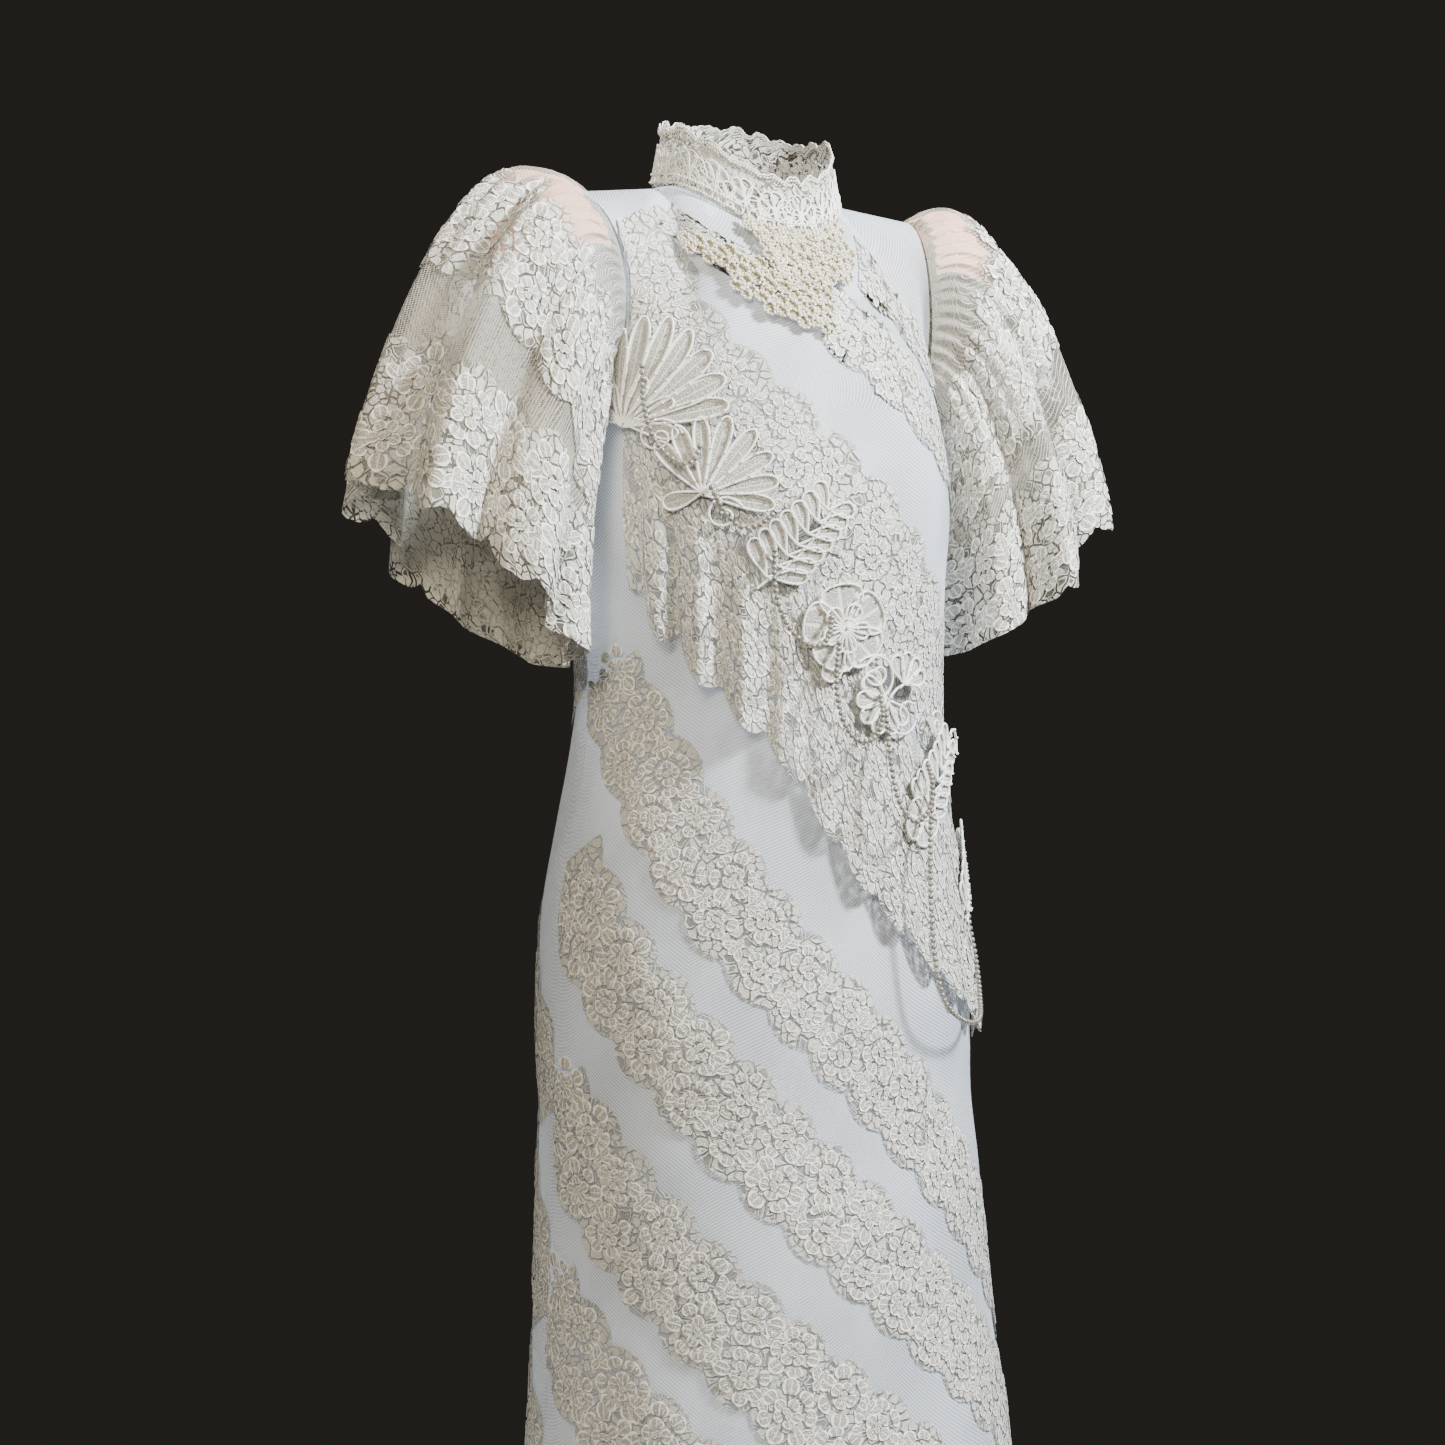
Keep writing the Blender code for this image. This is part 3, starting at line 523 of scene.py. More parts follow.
def net_material(name, colour, cover, pitch, thickness=0.30):
    """Fine net: a diamond mesh of threads with open holes, denser where the threads meet."""
    material, tree, shader = new_material(name, colour, 0.8)
    flat = add_node(tree, "ShaderNodeUVMap", {"uv_map": "flat"}).outputs[0]
    parts = add_node(tree, "ShaderNodeSeparateXYZ", Vector=flat)
    threads = []
    for operation in ("ADD", "SUBTRACT"):
        run = combine(tree, operation, parts.outputs[0], parts.outputs[1])
        wave = combine(tree, "PINGPONG", combine(tree, "DIVIDE", run, pitch), 1.0)
        threads.append(ramp(tree, wave, thickness - 0.18, thickness, 1.0, 0.0))
    mesh = combine(tree, "MAXIMUM", *threads)
    uneven = add_node(tree, "ShaderNodeTexNoise", Vector=own_place(tree), Scale=14.0, Detail=1.0)
    cover_here = ramp(tree, uneven.outputs["Fac"], 0.3, 0.7, cover - 0.07, cover + 0.05)
    alpha = combine(tree, "MULTIPLY_ADD", mesh, 0.9 - cover, cover_here)
    tree.links.new(combine(tree, "MINIMUM", alpha, 1.0), shader.inputs["Alpha"])
    relief(tree, shader, mesh, 0.3, 0.0003)
    return material


# Painted light: the body net is ivory, but its colour is tinted cool and bluish white to stand in for a
# cool-lit white form showing through it.
BODY_NET = net_material("ivory body net", (0.81, 0.87, 0.96), 0.36, 0.0014)

NetPanel = namedtuple("NetPanel", "node facing first last width")
NET_PANELS = (
    NetPanel("front_panel", -1, 0, NET_COLUMNS, 0.72),
    NetPanel("back_panel_left", 1, 0, NET_COLUMNS // 2, 0.36),
    NetPanel("back_panel_right", 1, NET_COLUMNS // 2, NET_COLUMNS, 0.36),
)


def declare_sheet(piece, nodes):
    """Hides the solids that a piece of cloth stands for and hangs the piece on the root."""
    if nodes:
        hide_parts(*nodes)
    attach(piece, "root")


sheath = {facing: panel_points(facing) for facing in (-1, 1)}
for panel in NET_PANELS:
    points = sheath[panel.facing][:, panel.first : panel.last + 1]
    cloth = Cloth(points, outward(points))
    piece = add_cloth(f"net_{panel.node}", points, BODY_NET, cloth.flat)
    declare_sheet(piece, [panel.node])

# Lace bands: scalloped galloon lace of corded roses on a fine ground, laid in slanting stripes over the
# net and sewn down along both edges. Plain net shows between the stripes.
LACE_AWAY = 0.0016
ROSE_LIFT = 0.0006
PETAL_ROWS = 5
PETAL_COLUMNS = 5
SUB_SCALLOP = 0.0011
SUB_SCALLOP_PITCH = 0.0085
GROUND_STEP = 0.0030
GROUND_ROWS = 14
FLOWER_RELIEF = 0.42
LANE_SPREAD = {2: 0.47, 3: 0.60}
lace_random = np.random.default_rng(11)


def lace_ground_material(name, colour, dim, rose_pitch=0.030, leaf_pitch=0.0105, openness=0.50):
    """Woven lace: roses of two rings of petals with leaves between them, and open mesh in the gaps, where the
    dark second colour is painted shade.
    """
    material, tree, shader = new_material(name, colour, 0.7)
    flat = add_node(tree, "ShaderNodeUVMap", {"uv_map": "flat"}).outputs[0]
    where = own_place(tree)
    cloud = add_node(tree, "ShaderNodeTexNoise", Vector=where, Scale=75.0, Detail=1.0)
    bent = add_node(
        tree, "ShaderNodeVectorMath", {"operation": "MULTIPLY_ADD"},
        i0=cloud.outputs["Color"], i1=(0.010,) * 3, i2=flat,
    ).outputs[0]
    roses = add_node(
        tree, "ShaderNodeTexVoronoi", {"voronoi_dimensions": "2D"},
        Vector=bent, Scale=1 / rose_pitch, Randomness=0.75,
    )
    local = add_node(
        tree, "ShaderNodeVectorMath", {"operation": "SUBTRACT"}, i0=bent, i1=roses.outputs["Position"]
    ).outputs[0]
    parts = add_node(tree, "ShaderNodeSeparateXYZ", Vector=local)
    chance = add_node(tree, "ShaderNodeSeparateXYZ", Vector=roses.outputs["Color"]).outputs[0]
    angle = combine(tree, "ARCTAN2", parts.outputs[1], parts.outputs[0])
    reach = roses.outputs["Distance"]
    asides = []
    for count, turn in ((7, 3.0), (5, 7.0)):
        start = combine(tree, "MULTIPLY", chance, turn)
        run = combine(tree, "MULTIPLY_ADD", angle, count / (2 * math.pi), start)
        asides.append(combine(tree, "PINGPONG", run, 0.5))
    outer_edge = combine(tree, "MULTIPLY_ADD", asides[0], 0.22, 0.36)
    inner_edge = combine(tree, "MULTIPLY_ADD", asides[1], 0.14, 0.19)
    in_inner = combine(tree, "LESS_THAN", reach, inner_edge)
    in_rose = combine(tree, "LESS_THAN", reach, outer_edge)
    aside = combine(
        tree, "MULTIPLY_ADD", combine(tree, "SUBTRACT", asides[1], asides[0]), in_inner, asides[0]
    )
    edge = combine(
        tree, "MULTIPLY_ADD", combine(tree, "SUBTRACT", inner_edge, outer_edge), in_inner, outer_edge
    )
    from_edge = combine(tree, "SUBTRACT", edge, reach)
    from_side = combine(tree, "MULTIPLY", combine(tree, "MULTIPLY", aside, 0.9), reach)
    petal_depth = combine(tree, "MINIMUM", from_edge, from_side)
    leaves = add_node(
        tree, "ShaderNodeTexVoronoi", {"voronoi_dimensions": "2D", "feature": "DISTANCE_TO_EDGE"},
        Vector=bent, Scale=1 / leaf_pitch,
    ).outputs["Distance"]
    leaf_depth = combine(tree, "MULTIPLY", leaves, leaf_pitch / rose_pitch)
    depth = combine(
        tree, "MULTIPLY_ADD", combine(tree, "SUBTRACT", petal_depth, leaf_depth), in_rose, leaf_depth
    )
    solid = ramp(tree, depth, 0.016, 0.040)
    cord = combine(tree, "MULTIPLY", solid, ramp(tree, depth, 0.045, 0.075, 1.0, 0.0))
    cells = add_node(tree, "ShaderNodeTexVoronoi", Vector=where, Scale=640.0)
    grain = ramp(tree, cells.outputs["Distance"], 0.25, 0.75, 1.0, 0.25)
    outside = combine(tree, "SUBTRACT", 1.0, in_rose)
    thin = ramp(tree, cloud.outputs["Fac"], openness - 0.06, openness + 0.02, 1.0, 0.0)
    opened = combine(tree, "MULTIPLY", combine(tree, "MULTIPLY", outside, thin), 0.85)
    filled = combine(tree, "MULTIPLY", solid, combine(tree, "SUBTRACT", 1.0, opened))
    woven = combine(tree, "MULTIPLY", filled, combine(tree, "MULTIPLY_ADD", grain, 0.45, 0.55))
    cover = combine(tree, "MAXIMUM", cord, woven)
    # Painted shade: the open gaps between flowers take the dark second colour and stay a third opaque,
    # standing in for the shade seen through them.
    two_tone(tree, shader, cover, dim, colour)
    tree.links.new(ramp(tree, cover, 0.0, 0.45, 0.34, 1.0), shader.inputs["Alpha"])
    relief(tree, shader, cover, 0.8, 0.0008)
    return material


def rose_material(name, colour, dim):
    """A rose petal: a raised cord round its edge, a vein, and a granular filling with small pin holes; the
    low grain and the pin holes are painted dark as shade.
    """
    material, tree, shader = new_material(name, colour, 0.62)
    flat = add_node(tree, "ShaderNodeUVMap", {"uv_map": "flat"}).outputs[0]
    parts = add_node(tree, "ShaderNodeSeparateXYZ", Vector=flat)
    aside = combine(tree, "ABSOLUTE", combine(tree, "MULTIPLY_ADD", parts.outputs[0], 2.0, -1.0))
    along = parts.outputs[1]
    cord = combine(tree, "MAXIMUM", ramp(tree, aside, 0.60, 0.80), ramp(tree, along, 0.74, 0.88))
    vein = ramp(tree, aside, 0.04, 0.14, 0.8, 0.0)
    cells = add_node(tree, "ShaderNodeTexVoronoi", Vector=own_place(tree), Scale=560.0)
    grain = combine(tree, "MULTIPLY", ramp(tree, cells.outputs["Distance"], 0.14, 0.56, 1.0, 0.0), 0.72)
    raised = combine(tree, "MAXIMUM", combine(tree, "MAXIMUM", cord, vein), grain)
    # Painted shade: the low parts of the filling and its pin holes take the dark second colour, while the
    # grain pattern itself is the lace's own.
    two_tone(tree, shader, raised, dim, colour)
    relief(tree, shader, raised, 0.8, 0.0007)
    return material


# The dark second colour of both laces is painted shade, in the ground's open gaps and in the low pits of the
# petals.
LACE_GROUND = lace_ground_material("ivory lace", (0.68, 0.67, 0.62), (0.15, 0.145, 0.12))
ROSE_LACE = rose_material("ivory rose lace", (1.0, 0.99, 0.96), (0.38, 0.37, 0.33))

Flower = namedtuple("Flower", "points heights coordinates faces")


def lean_over(line, lean):
    """Flat points turned about their origin."""
    x, y = line[..., 0], line[..., 1]
    return np.stack((x * math.cos(lean) - y * math.sin(lean), x * math.sin(lean) + y * math.cos(lean)), -1)


def petal(angle, inner, outer, half_width, lift, dome):
    """One petal of unit size round the middle of its flower: a small domed grid."""
    shares, asides = np.linspace(0, 1, PETAL_ROWS), np.linspace(-1, 1, PETAL_COLUMNS)
    along, aside = np.meshgrid(shares, asides, indexing="ij")
    wide = half_width * np.sin(math.pi * (0.16 + 0.80 * along)) ** 0.6
    x = aside * wide
    y = inner + (outer - inner) * (along - 0.07 * aside**2 * along)
    height = lift + dome * np.sin(math.pi * (0.1 + 0.8 * along)) * (1 - 0.8 * aside**2)
    turned = lean_over(np.stack((x, y), -1), angle)
    row, column = np.meshgrid(np.arange(PETAL_ROWS - 1), np.arange(PETAL_COLUMNS - 1), indexing="ij")
    corner = (row * PETAL_COLUMNS + column).reshape(-1)
    faces = np.stack((corner, corner + 1, corner + PETAL_COLUMNS + 1, corner + PETAL_COLUMNS), 1)
    flat = np.stack(((aside + 1) / 2, along), -1)
    return Flower(turned.reshape(-1, 2), height.reshape(-1), flat.reshape(-1, 2), faces)


def joined(pieces):
    """Several petals as one flower."""
    shifts = np.concatenate(((0,), np.cumsum([len(piece.points) for piece in pieces])))[:-1]
    return Flower(
        np.concatenate([piece.points for piece in pieces]),
        np.concatenate([piece.heights for piece in pieces]),
        np.concatenate([piece.coordinates for piece in pieces]),
        np.concatenate([piece.faces + shift for piece, shift in zip(pieces, shifts)]),
    )


def make_rose(outer_count, middle_count, start):
    """A rose in three rings of petals, each ring standing over the one outside it."""
    petals = []
    rings = (
        (outer_count, 0.54, 1.00, 1.80 / outer_count, 0.0, 0.050),
        (middle_count, 0.18, 0.50, 0.92 / middle_count, 0.02, 0.045),
        (2, 0.0, 0.20, 0.10, 0.04, 0.03),
    )
    for ring, (count, inner, outer, half_width, lift, dome) in enumerate(rings):
        for number in range(count):
            angle = start + ring * 0.5 + 2 * math.pi * number / count + lace_random.uniform(-0.12, 0.12)
            longer = lace_random.uniform(0.84, 1.08)
            petals.append(petal(angle, inner, outer * longer, half_width, lift, dome))
    return joined(petals)


def make_sprig(start):
    """Two leaves and a bud that fill the corners between the roses."""
    parts = [petal(start + turn, 0.05, 1.0, 0.30, 0.0, 0.03) for turn in (-0.9, 0.9)]
    parts.append(petal(start, 0.1, 0.75, 0.24, 0.02, 0.03))
    parts.append(petal(start + math.pi, 0.0, 0.55, 0.26, 0.01, 0.03))
    return joined(parts)


ROSES = [make_rose(6 + number % 2, 4 + number % 2, number) for number in range(6)]
SPRIGS = [make_sprig(0.0)]

Spot = namedtuple("Spot", "column row radius turn kind")


def add_flowers(name, cloth, spots, away, material):
    """All the flowers of one piece of lace, each bent to the cloth that it lies on."""
    points, coordinates, faces, count = [], [], [], 0
    for number, spot in enumerate(spots):
        flower = (ROSES if spot.kind == "rose" else SPRIGS)[number % (6 if spot.kind == "rose" else 1)]
        across, up = (lean_over(flower.points, spot.turn) * spot.radius).T
        column, row = cloth.beside(spot.column, spot.row, across, up)
        points.append(cloth.at(column, row, away + flower.heights * spot.radius * FLOWER_RELIEF))
        coordinates.append(flower.coordinates)
        faces.append(flower.faces + count)
        count += len(flower.points)
    points, faces, coordinates = (np.concatenate(parts) for parts in (points, faces, coordinates))
    return add_mesh(name, points, faces, material, coordinates)


def row_at(cloth, column, height):
    """The row of a cloth that passes a height at a column."""
    line = cloth.points[:, int(np.clip(round(column), 0, cloth.columns - 1)), 2]
    return float(np.interp(-height, -line, np.arange(cloth.rows)))


def edge_offset(along, side, half, pitch):
    """How far a scalloped edge stands from the middle of its lace."""
    big = abs(math.cos(math.pi * (along / pitch + (0.0 if side > 0 else 0.5)))) ** 0.8
    small = abs(math.sin(math.pi * along / SUB_SCALLOP_PITCH))
    return half * (0.76 + 0.24 * big) + SUB_SCALLOP * small


Run = namedtuple("Run", "columns rows slants along")


def lace_run(cloth, stations):
    """The middle line of a lace: its places on the cloth, its slant at each, and the length along it."""
    columns = np.array([station[0] for station in stations])
    rows = np.array([station[1] for station in stations])
    points = cloth.at(columns, rows, np.zeros(len(columns)))
    along = np.concatenate(((0.0,), np.cumsum(np.linalg.norm(np.diff(points, axis=0), axis=1))))
    slants = []
    for first, second in zip(range(len(columns) - 1), range(1, len(columns))):
        reach = cloth.across[int(round(rows[first]))]
        numbers = np.arange(cloth.columns)
        aside = np.interp(columns[second], numbers, reach) - np.interp(columns[first], numbers, reach)
        depth = cloth.down[:, int(np.clip(round(columns[first]), 0, cloth.columns - 1))]
        numbers = np.arange(cloth.rows)
        fall = np.interp(rows[second], numbers, depth) - np.interp(rows[first], numbers, depth)
        slants.append(math.atan2(-fall, aside))
    return Run(columns, rows, np.array([*slants, slants[-1]]), along)


def add_lace(name, cloth, run, half, pitch, radius, away, rows_of_roses, materials):
    """A length of scalloped lace along a run: its ground, and its roses as a second piece."""
    count = max(int(run.along[-1] / GROUND_STEP), 6)
    wanted = np.linspace(0, run.along[-1], count + 1)
    columns, rows, slants = (np.interp(wanted, run.along, line) for line in run[:3])
    grid, flat = [], []
    for step in range(count + 1):
        offsets = np.linspace(1, -1, GROUND_ROWS)
        reach = [edge_offset(wanted[step], side, half, pitch) for side in (1, -1)]
        offsets = offsets * np.where(offsets > 0, *reach)
        column, row = cloth.beside(
            columns[step], rows[step], -math.sin(slants[step]) * offsets, math.cos(slants[step]) * offsets
        )
        grid.append(cloth.at(column, row, np.full(GROUND_ROWS, away)))
        flat.append(np.stack((np.full(GROUND_ROWS, wanted[step]), offsets), -1))
    grid, flat = np.array(grid).transpose(1, 0, 2), np.array(flat).transpose(1, 0, 2)
    ground = add_cloth(name, grid, materials[0], flat)
    spots = []
    number_along = max(int(round(run.along[-1] / pitch)), 1)
    for lane in range(rows_of_roses):
        off = half * LANE_SPREAD[rows_of_roses] * (1 - 2 * lane / max(rows_of_roses - 1, 1))
        for number in range(number_along * 2 + 1):
            at = (number + lace_random.uniform(-0.22, 0.22)) * pitch / 2
            if not 0 <= at <= run.along[-1]:
                continue
            on_peak = number % 2 == lane % 2
            column, row, slant = (np.interp(at, run.along, line) for line in run[:3])
            near = off * lace_random.uniform(0.62, 1.0)
            place = cloth.beside(column, row, -math.sin(slant) * near, math.cos(slant) * near)
            turn = lace_random.uniform(0, 2 * math.pi)
            if on_peak:
                spots.append(Spot(*place, radius * lace_random.uniform(0.84, 1.12), turn, "rose"))
            else:
                side = math.pi if off < 0 else 0.0
                spots.append(Spot(*place, radius * 0.58, slant + side, "sprig"))
    roses = add_flowers(name + "_roses", cloth, spots, away + ROSE_LIFT, materials[1])
    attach(roses, "root")
    return ground, roses


Band = namedtuple("Band", "name middle slope half_height first last lanes")
FRONT_BANDS = (
    Band("left_shoulder", -0.052, -0.165, 0.038, 0.22, 0.92, 2),
    Band("left_chest", -0.135, -0.175, 0.038, 0.00, 1.00, 2),
    Band("chest", -0.310, -0.250, 0.078, -0.95, 0.96, 3),
    Band("waist", -0.700, -0.325, 0.058, -0.90, 1.00, 2),
    Band("hip", -0.850, -0.300, 0.058, -1.00, 1.00, 2),
    Band("thigh", -1.010, -0.280, 0.059, -1.00, 1.00, 2),
    Band("knee", -1.165, -0.280, 0.059, -1.00, 0.86, 2),
    Band("calf", -1.320, -0.280, 0.059, -1.00, 0.32, 2),
    Band("ankle", -1.475, -0.280, 0.059, -1.00, -0.24, 2),
)
BACK_BANDS = (
    Band("shoulder_blade", -0.260, -0.170, 0.054, -0.95, 0.95, 2),
    Band("waist", -0.450, -0.290, 0.058, -0.90, 1.00, 2),
    Band("hip", -0.610, -0.290, 0.058, -1.00, 1.00, 2),
    Band("seat", -0.765, -0.290, 0.058, -1.00, 1.00, 2),
    Band("thigh", -0.920, -0.290, 0.059, -1.00, 1.00, 2),
    Band("knee", -1.075, -0.290, 0.059, -1.00, 1.00, 2),
    Band("calf", -1.230, -0.290, 0.059, -1.00, 0.55, 2),
    Band("ankle", -1.385, -0.290, 0.059, -1.00, 0.00, 2),
)
BODY_LACE = (LACE_GROUND, ROSE_LACE)
SCALLOP_PITCH = 0.046
PITCH_GAIN = {2: 1.0, 3: 1.1}
ROSE_SHARE = {2: 0.54, 3: 0.33}

front_cloth = Cloth(sheath[-1], outward(sheath[-1]))
back_middle = NET_COLUMNS // 2
BACK_CLOTHS = {
    side: (Cloth(sheath[1][:, columns], outward(sheath[1])[:, columns]), first, first + 1.0)
    for side, columns, first in (
        ("left", slice(0, back_middle + 1), -1.0),
        ("right", slice(back_middle, None), 0.0),
    )
}


def lay_band(name, node, band, cloth, first, last):
    """One slanting band over a panel whose columns run from first to last across."""
    stations = []
    for across in np.linspace(max(band.first, first), min(band.last, last), 160):
        column = (across - first) / (last - first) * (cloth.columns - 1)
        height = band.middle + band.slope * across
        top = cloth.points[0, int(round(column)), 2] - 0.006
        if HEM_HEIGHT + 0.012 <= height + band.half_height * 0.4 and height <= top:
            stations.append((column, row_at(cloth, column, max(height, HEM_HEIGHT + 0.004))))
    run = lace_run(cloth, stations)
    half = band.half_height * math.cos(abs(float(np.median(run.slants))))
    pitch = SCALLOP_PITCH * PITCH_GAIN[band.lanes]
    radius = half * ROSE_SHARE[band.lanes]
    ground, roses = add_lace(name, cloth, run, half, pitch, radius, LACE_AWAY, band.lanes, BODY_LACE)
    declare_sheet(ground, [node])


for band in FRONT_BANDS:
    node = f"lace_band_front_{band.name}"
    lay_band(f"lace_{band.name}", node, band, front_cloth, -1.0, 1.0)
for band in BACK_BANDS:
    for side, (cloth, first, last) in BACK_CLOTHS.items():
        node = f"lace_band_back_{side}_{band.name}"
        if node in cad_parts:
            name = f"lace_back_{side}_{band.name}"
            lay_band(name, node, band, cloth, first, last)

# Neckline strip: a narrow length of the same lace over the net, from the right shoulder down along the
# neck to the beaded motif. The source has no solid of its own for it, as it lies flat on the front.
NECKLINE_HALF = 0.020
Station = namedtuple("Station", "across height")
NECKLINE_STATIONS = (
    Station(-0.55, -0.056),
    Station(-0.48, -0.066),
    Station(-0.40, -0.079),
    Station(-0.30, -0.095),
    Station(-0.16, -0.110),
)

neckline = []
for across in np.linspace(NECKLINE_STATIONS[0][0], NECKLINE_STATIONS[-1][0], 60):
    height = np.interp(across, *zip(*NECKLINE_STATIONS))
    column = (across + 1) / 2 * NET_COLUMNS
    neckline.append((column, row_at(front_cloth, column, height)))
neckline_run = lace_run(front_cloth, neckline)
ground, roses = add_lace(
    "lace_neckline", front_cloth, neckline_run, NECKLINE_HALF,
    SCALLOP_PITCH * 0.6, NECKLINE_HALF * 0.55, LACE_AWAY, 2, BODY_LACE,
)
declare_sheet(ground, [])

# Sleeves: wide flutter sleeves of the same net, gathered into the armhole in small pleats and falling
# in deep flutes. Two rows of galloon lace are sewn round each, with a strip of plain net between.
FLUTES = 8
SLEEVE_COLUMNS = 288
SLEEVE_ROWS = 44
SLEEVE_SEAT = 0.0016
UNDERARM_SEAT = 0.0029
SLEEVE_HEM_MIDDLE = (0.256, 0.0, -0.340)
SLEEVE_HEM_HALF_WIDTH = 0.074
SLEEVE_HEM_HALF_DEPTH = 0.088
SLEEVE_HEM_SLANT = 0.062
FLUTE_DEPTH = 0.0245
HEAD_PLEATS = 44
HEAD_PLEAT_DEPTH = 0.0034
SLEEVE_NET_END = 0.955

SLEEVE_NET = net_material("ivory sleeve net", (0.86, 0.83, 0.74), 0.09, 0.0017, 0.22)

SleeveSide = namedtuple("SleeveSide", "name mirror wobble wobble_turn uneven_turn")
SLEEVE_SIDES = (
    SleeveSide("right", 1, 0.020, 0.4, 0.9),
    SleeveSide("left", -1, 0.018, 2.1, 2.6),
)
SleeveLace = namedtuple("SleeveLace", "name middle half lanes")
SLEEVE_LACES = (
    SleeveLace("upper", 0.41, 0.053, 2),
    SleeveLace("lower", 0.815, 0.058, 2),
)


def resampled(line, count):
    """Count points at even distances along a line, its last point left out."""
    along = np.concatenate(((0.0,), np.cumsum(np.linalg.norm(np.diff(line, axis=0), axis=1))))
    wanted = np.linspace(0, along[-1], count + 1)[:-1]
    return np.stack([np.interp(wanted, along, line[:, axis]) for axis in range(3)], -1)


def sleeve_points(side):
    """Rows of points from the armhole to the hem of one sleeve, round the arm."""
    front = sheath[-1][: YOKE_ROWS + 1, 0]
    back = sheath[1][: YOKE_ROWS + 1, -1]
    half = SLEEVE_COLUMNS // 2
    armhole = np.concatenate((resampled(front, half), resampled(back[::-1], half)))
    turn = 2 * math.pi * np.arange(SLEEVE_COLUMNS) / SLEEVE_COLUMNS
    top = (1 + np.cos(turn)) / 2
    root = armhole - np.stack((SLEEVE_SEAT + UNDERARM_SEAT * (1 - top), 0 * top, 0 * top), -1)
    hem = np.stack(
        (
            -SLEEVE_HEM_MIDDLE[0] - SLEEVE_HEM_HALF_WIDTH * np.cos(turn),
            SLEEVE_HEM_MIDDLE[1] - SLEEVE_HEM_HALF_DEPTH * np.sin(turn),
            SLEEVE_HEM_MIDDLE[2] + SLEEVE_HEM_SLANT * np.cos(turn),
        ),
        -1,
    )
    leaving = np.stack((-0.05 - 0.17 * top, -0.10 * np.sin(turn), -0.08 + 0.30 * top), -1)
    falling = np.stack((-0.03 * top, 0 * top, -0.20 - 0.12 * top), -1)
    radial = np.stack((-np.cos(turn), -np.sin(turn), 0 * turn), -1)
    uneven = turn + side.wobble * FLUTES * np.sin(2 * turn + side.wobble_turn) / 2
    deep = FLUTE_DEPTH * (1 + 0.25 * np.sin(3 * turn + side.uneven_turn))
    rows = []
    for share in np.linspace(0, 1, SLEEVE_ROWS + 1):
        wave = np.cos(FLUTES * uneven) + 0.20 * np.cos(2 * FLUTES * uneven + 1.1 + 3 * share)
        wave = wave + 0.10 * np.cos(3 * FLUTES * uneven)
        out = deep * share**1.05 * (0.25 + 0.75 * top) * wave
        gathers = np.cos(HEAD_PLEATS * turn + 0.8 * np.sin(5 * turn)) * (0.4 + 0.6 * top)
        out = out + HEAD_PLEAT_DEPTH * gathers * math.exp(-((share / 0.42) ** 2)) * eased(share / 0.06)
        rows.append(hermite(root, hem, leaving, falling, share) + radial * out[:, None])
    return np.array(rows)


def wrapped(points):
    """The same closed rows of points three times round, so that lace may run past the seam."""
    return np.concatenate((points, points, points), axis=1)


for side in SLEEVE_SIDES:
    points = sleeve_points(side)
    if side.mirror < 0:
        points = points[:, ::-1] * (-1, 1, 1)
    points = wrapped(points)
    cloth = Cloth(points, outward(points))
    net_rows = int(SLEEVE_ROWS * SLEEVE_NET_END) + 1
    once = slice(SLEEVE_COLUMNS, 2 * SLEEVE_COLUMNS + 1)
    shown = points[:net_rows, once]
    net = add_cloth(f"net_sleeve_{side.name}", shown, SLEEVE_NET, cloth.flat[:net_rows, once])
    declare_sheet(net, [f"sleeve_{side.name}"])
    for lace in SLEEVE_LACES:
        row = lace.middle * SLEEVE_ROWS
        stations = [(column, row) for column in np.linspace(SLEEVE_COLUMNS, 2 * SLEEVE_COLUMNS, 500)]
        run = lace_run(cloth, stations)
        ground, roses = add_lace(
            f"lace_sleeve_{side.name}_{lace.name}", cloth, run, lace.half, SCALLOP_PITCH,
            lace.half * 0.47, LACE_AWAY, lace.lanes, BODY_LACE,
        )
        node = f"sleeve_{side.name}_lace_{lace.name}"
        declare_sheet(ground, [node])

# Sleeve head stays: short pieces of gathered peach net inside the sleeve heads, which hold the gathers up
# and show through them.
STAY_FIRST_ROW = 2
STAY_LAST_ROW = 13
STAY_HALF_COLUMNS = 50
STAY_INSET = 0.0034

PEACH_NET = net_material("peach net", (0.95, 0.50, 0.38), 0.80, 0.0011)

for side in SLEEVE_SIDES:
    points = wrapped(sleeve_points(side))
    middle = SLEEVE_COLUMNS
    if side.mirror < 0:
        points = points[:, ::-1] * (-1, 1, 1)
        middle = 2 * SLEEVE_COLUMNS - 1
    normals = outward(points)
    around = slice(middle - STAY_HALF_COLUMNS, middle + STAY_HALF_COLUMNS + 1)
    chosen = (slice(STAY_FIRST_ROW, STAY_LAST_ROW), around)
    ripple = 0.0008 * np.cos(np.arange(2 * STAY_HALF_COLUMNS + 1) * 0.7)
    shown = points[chosen] - normals[chosen] * (STAY_INSET + ripple[None, :, None])
    cloth = Cloth(shown, normals[chosen])
    stay = add_cloth(f"stay_{side.name}", shown, PEACH_NET, cloth.flat)
    node = f"sleeve_head_stay_{side.name}"
    declare_sheet(stay, [node])

# Flounce: one length of the galloon, gathered along its upper edge and sewn on from the right armhole
# down across the front to the left hip, so that it stands out in small flutes.
FLOUNCE_COLUMNS = 256
FLOUNCE_ROWS = 20
FLOUNCE_WAVES = 12
FLOUNCE_LIFT = 0.0070
FLOUNCE_MEAN = 0.0075
FLOUNCE_WAVE = 0.0074
FLOUNCE_FLAT_SHARE = 0.22
FLOUNCE_ROSE_PITCH = 0.036

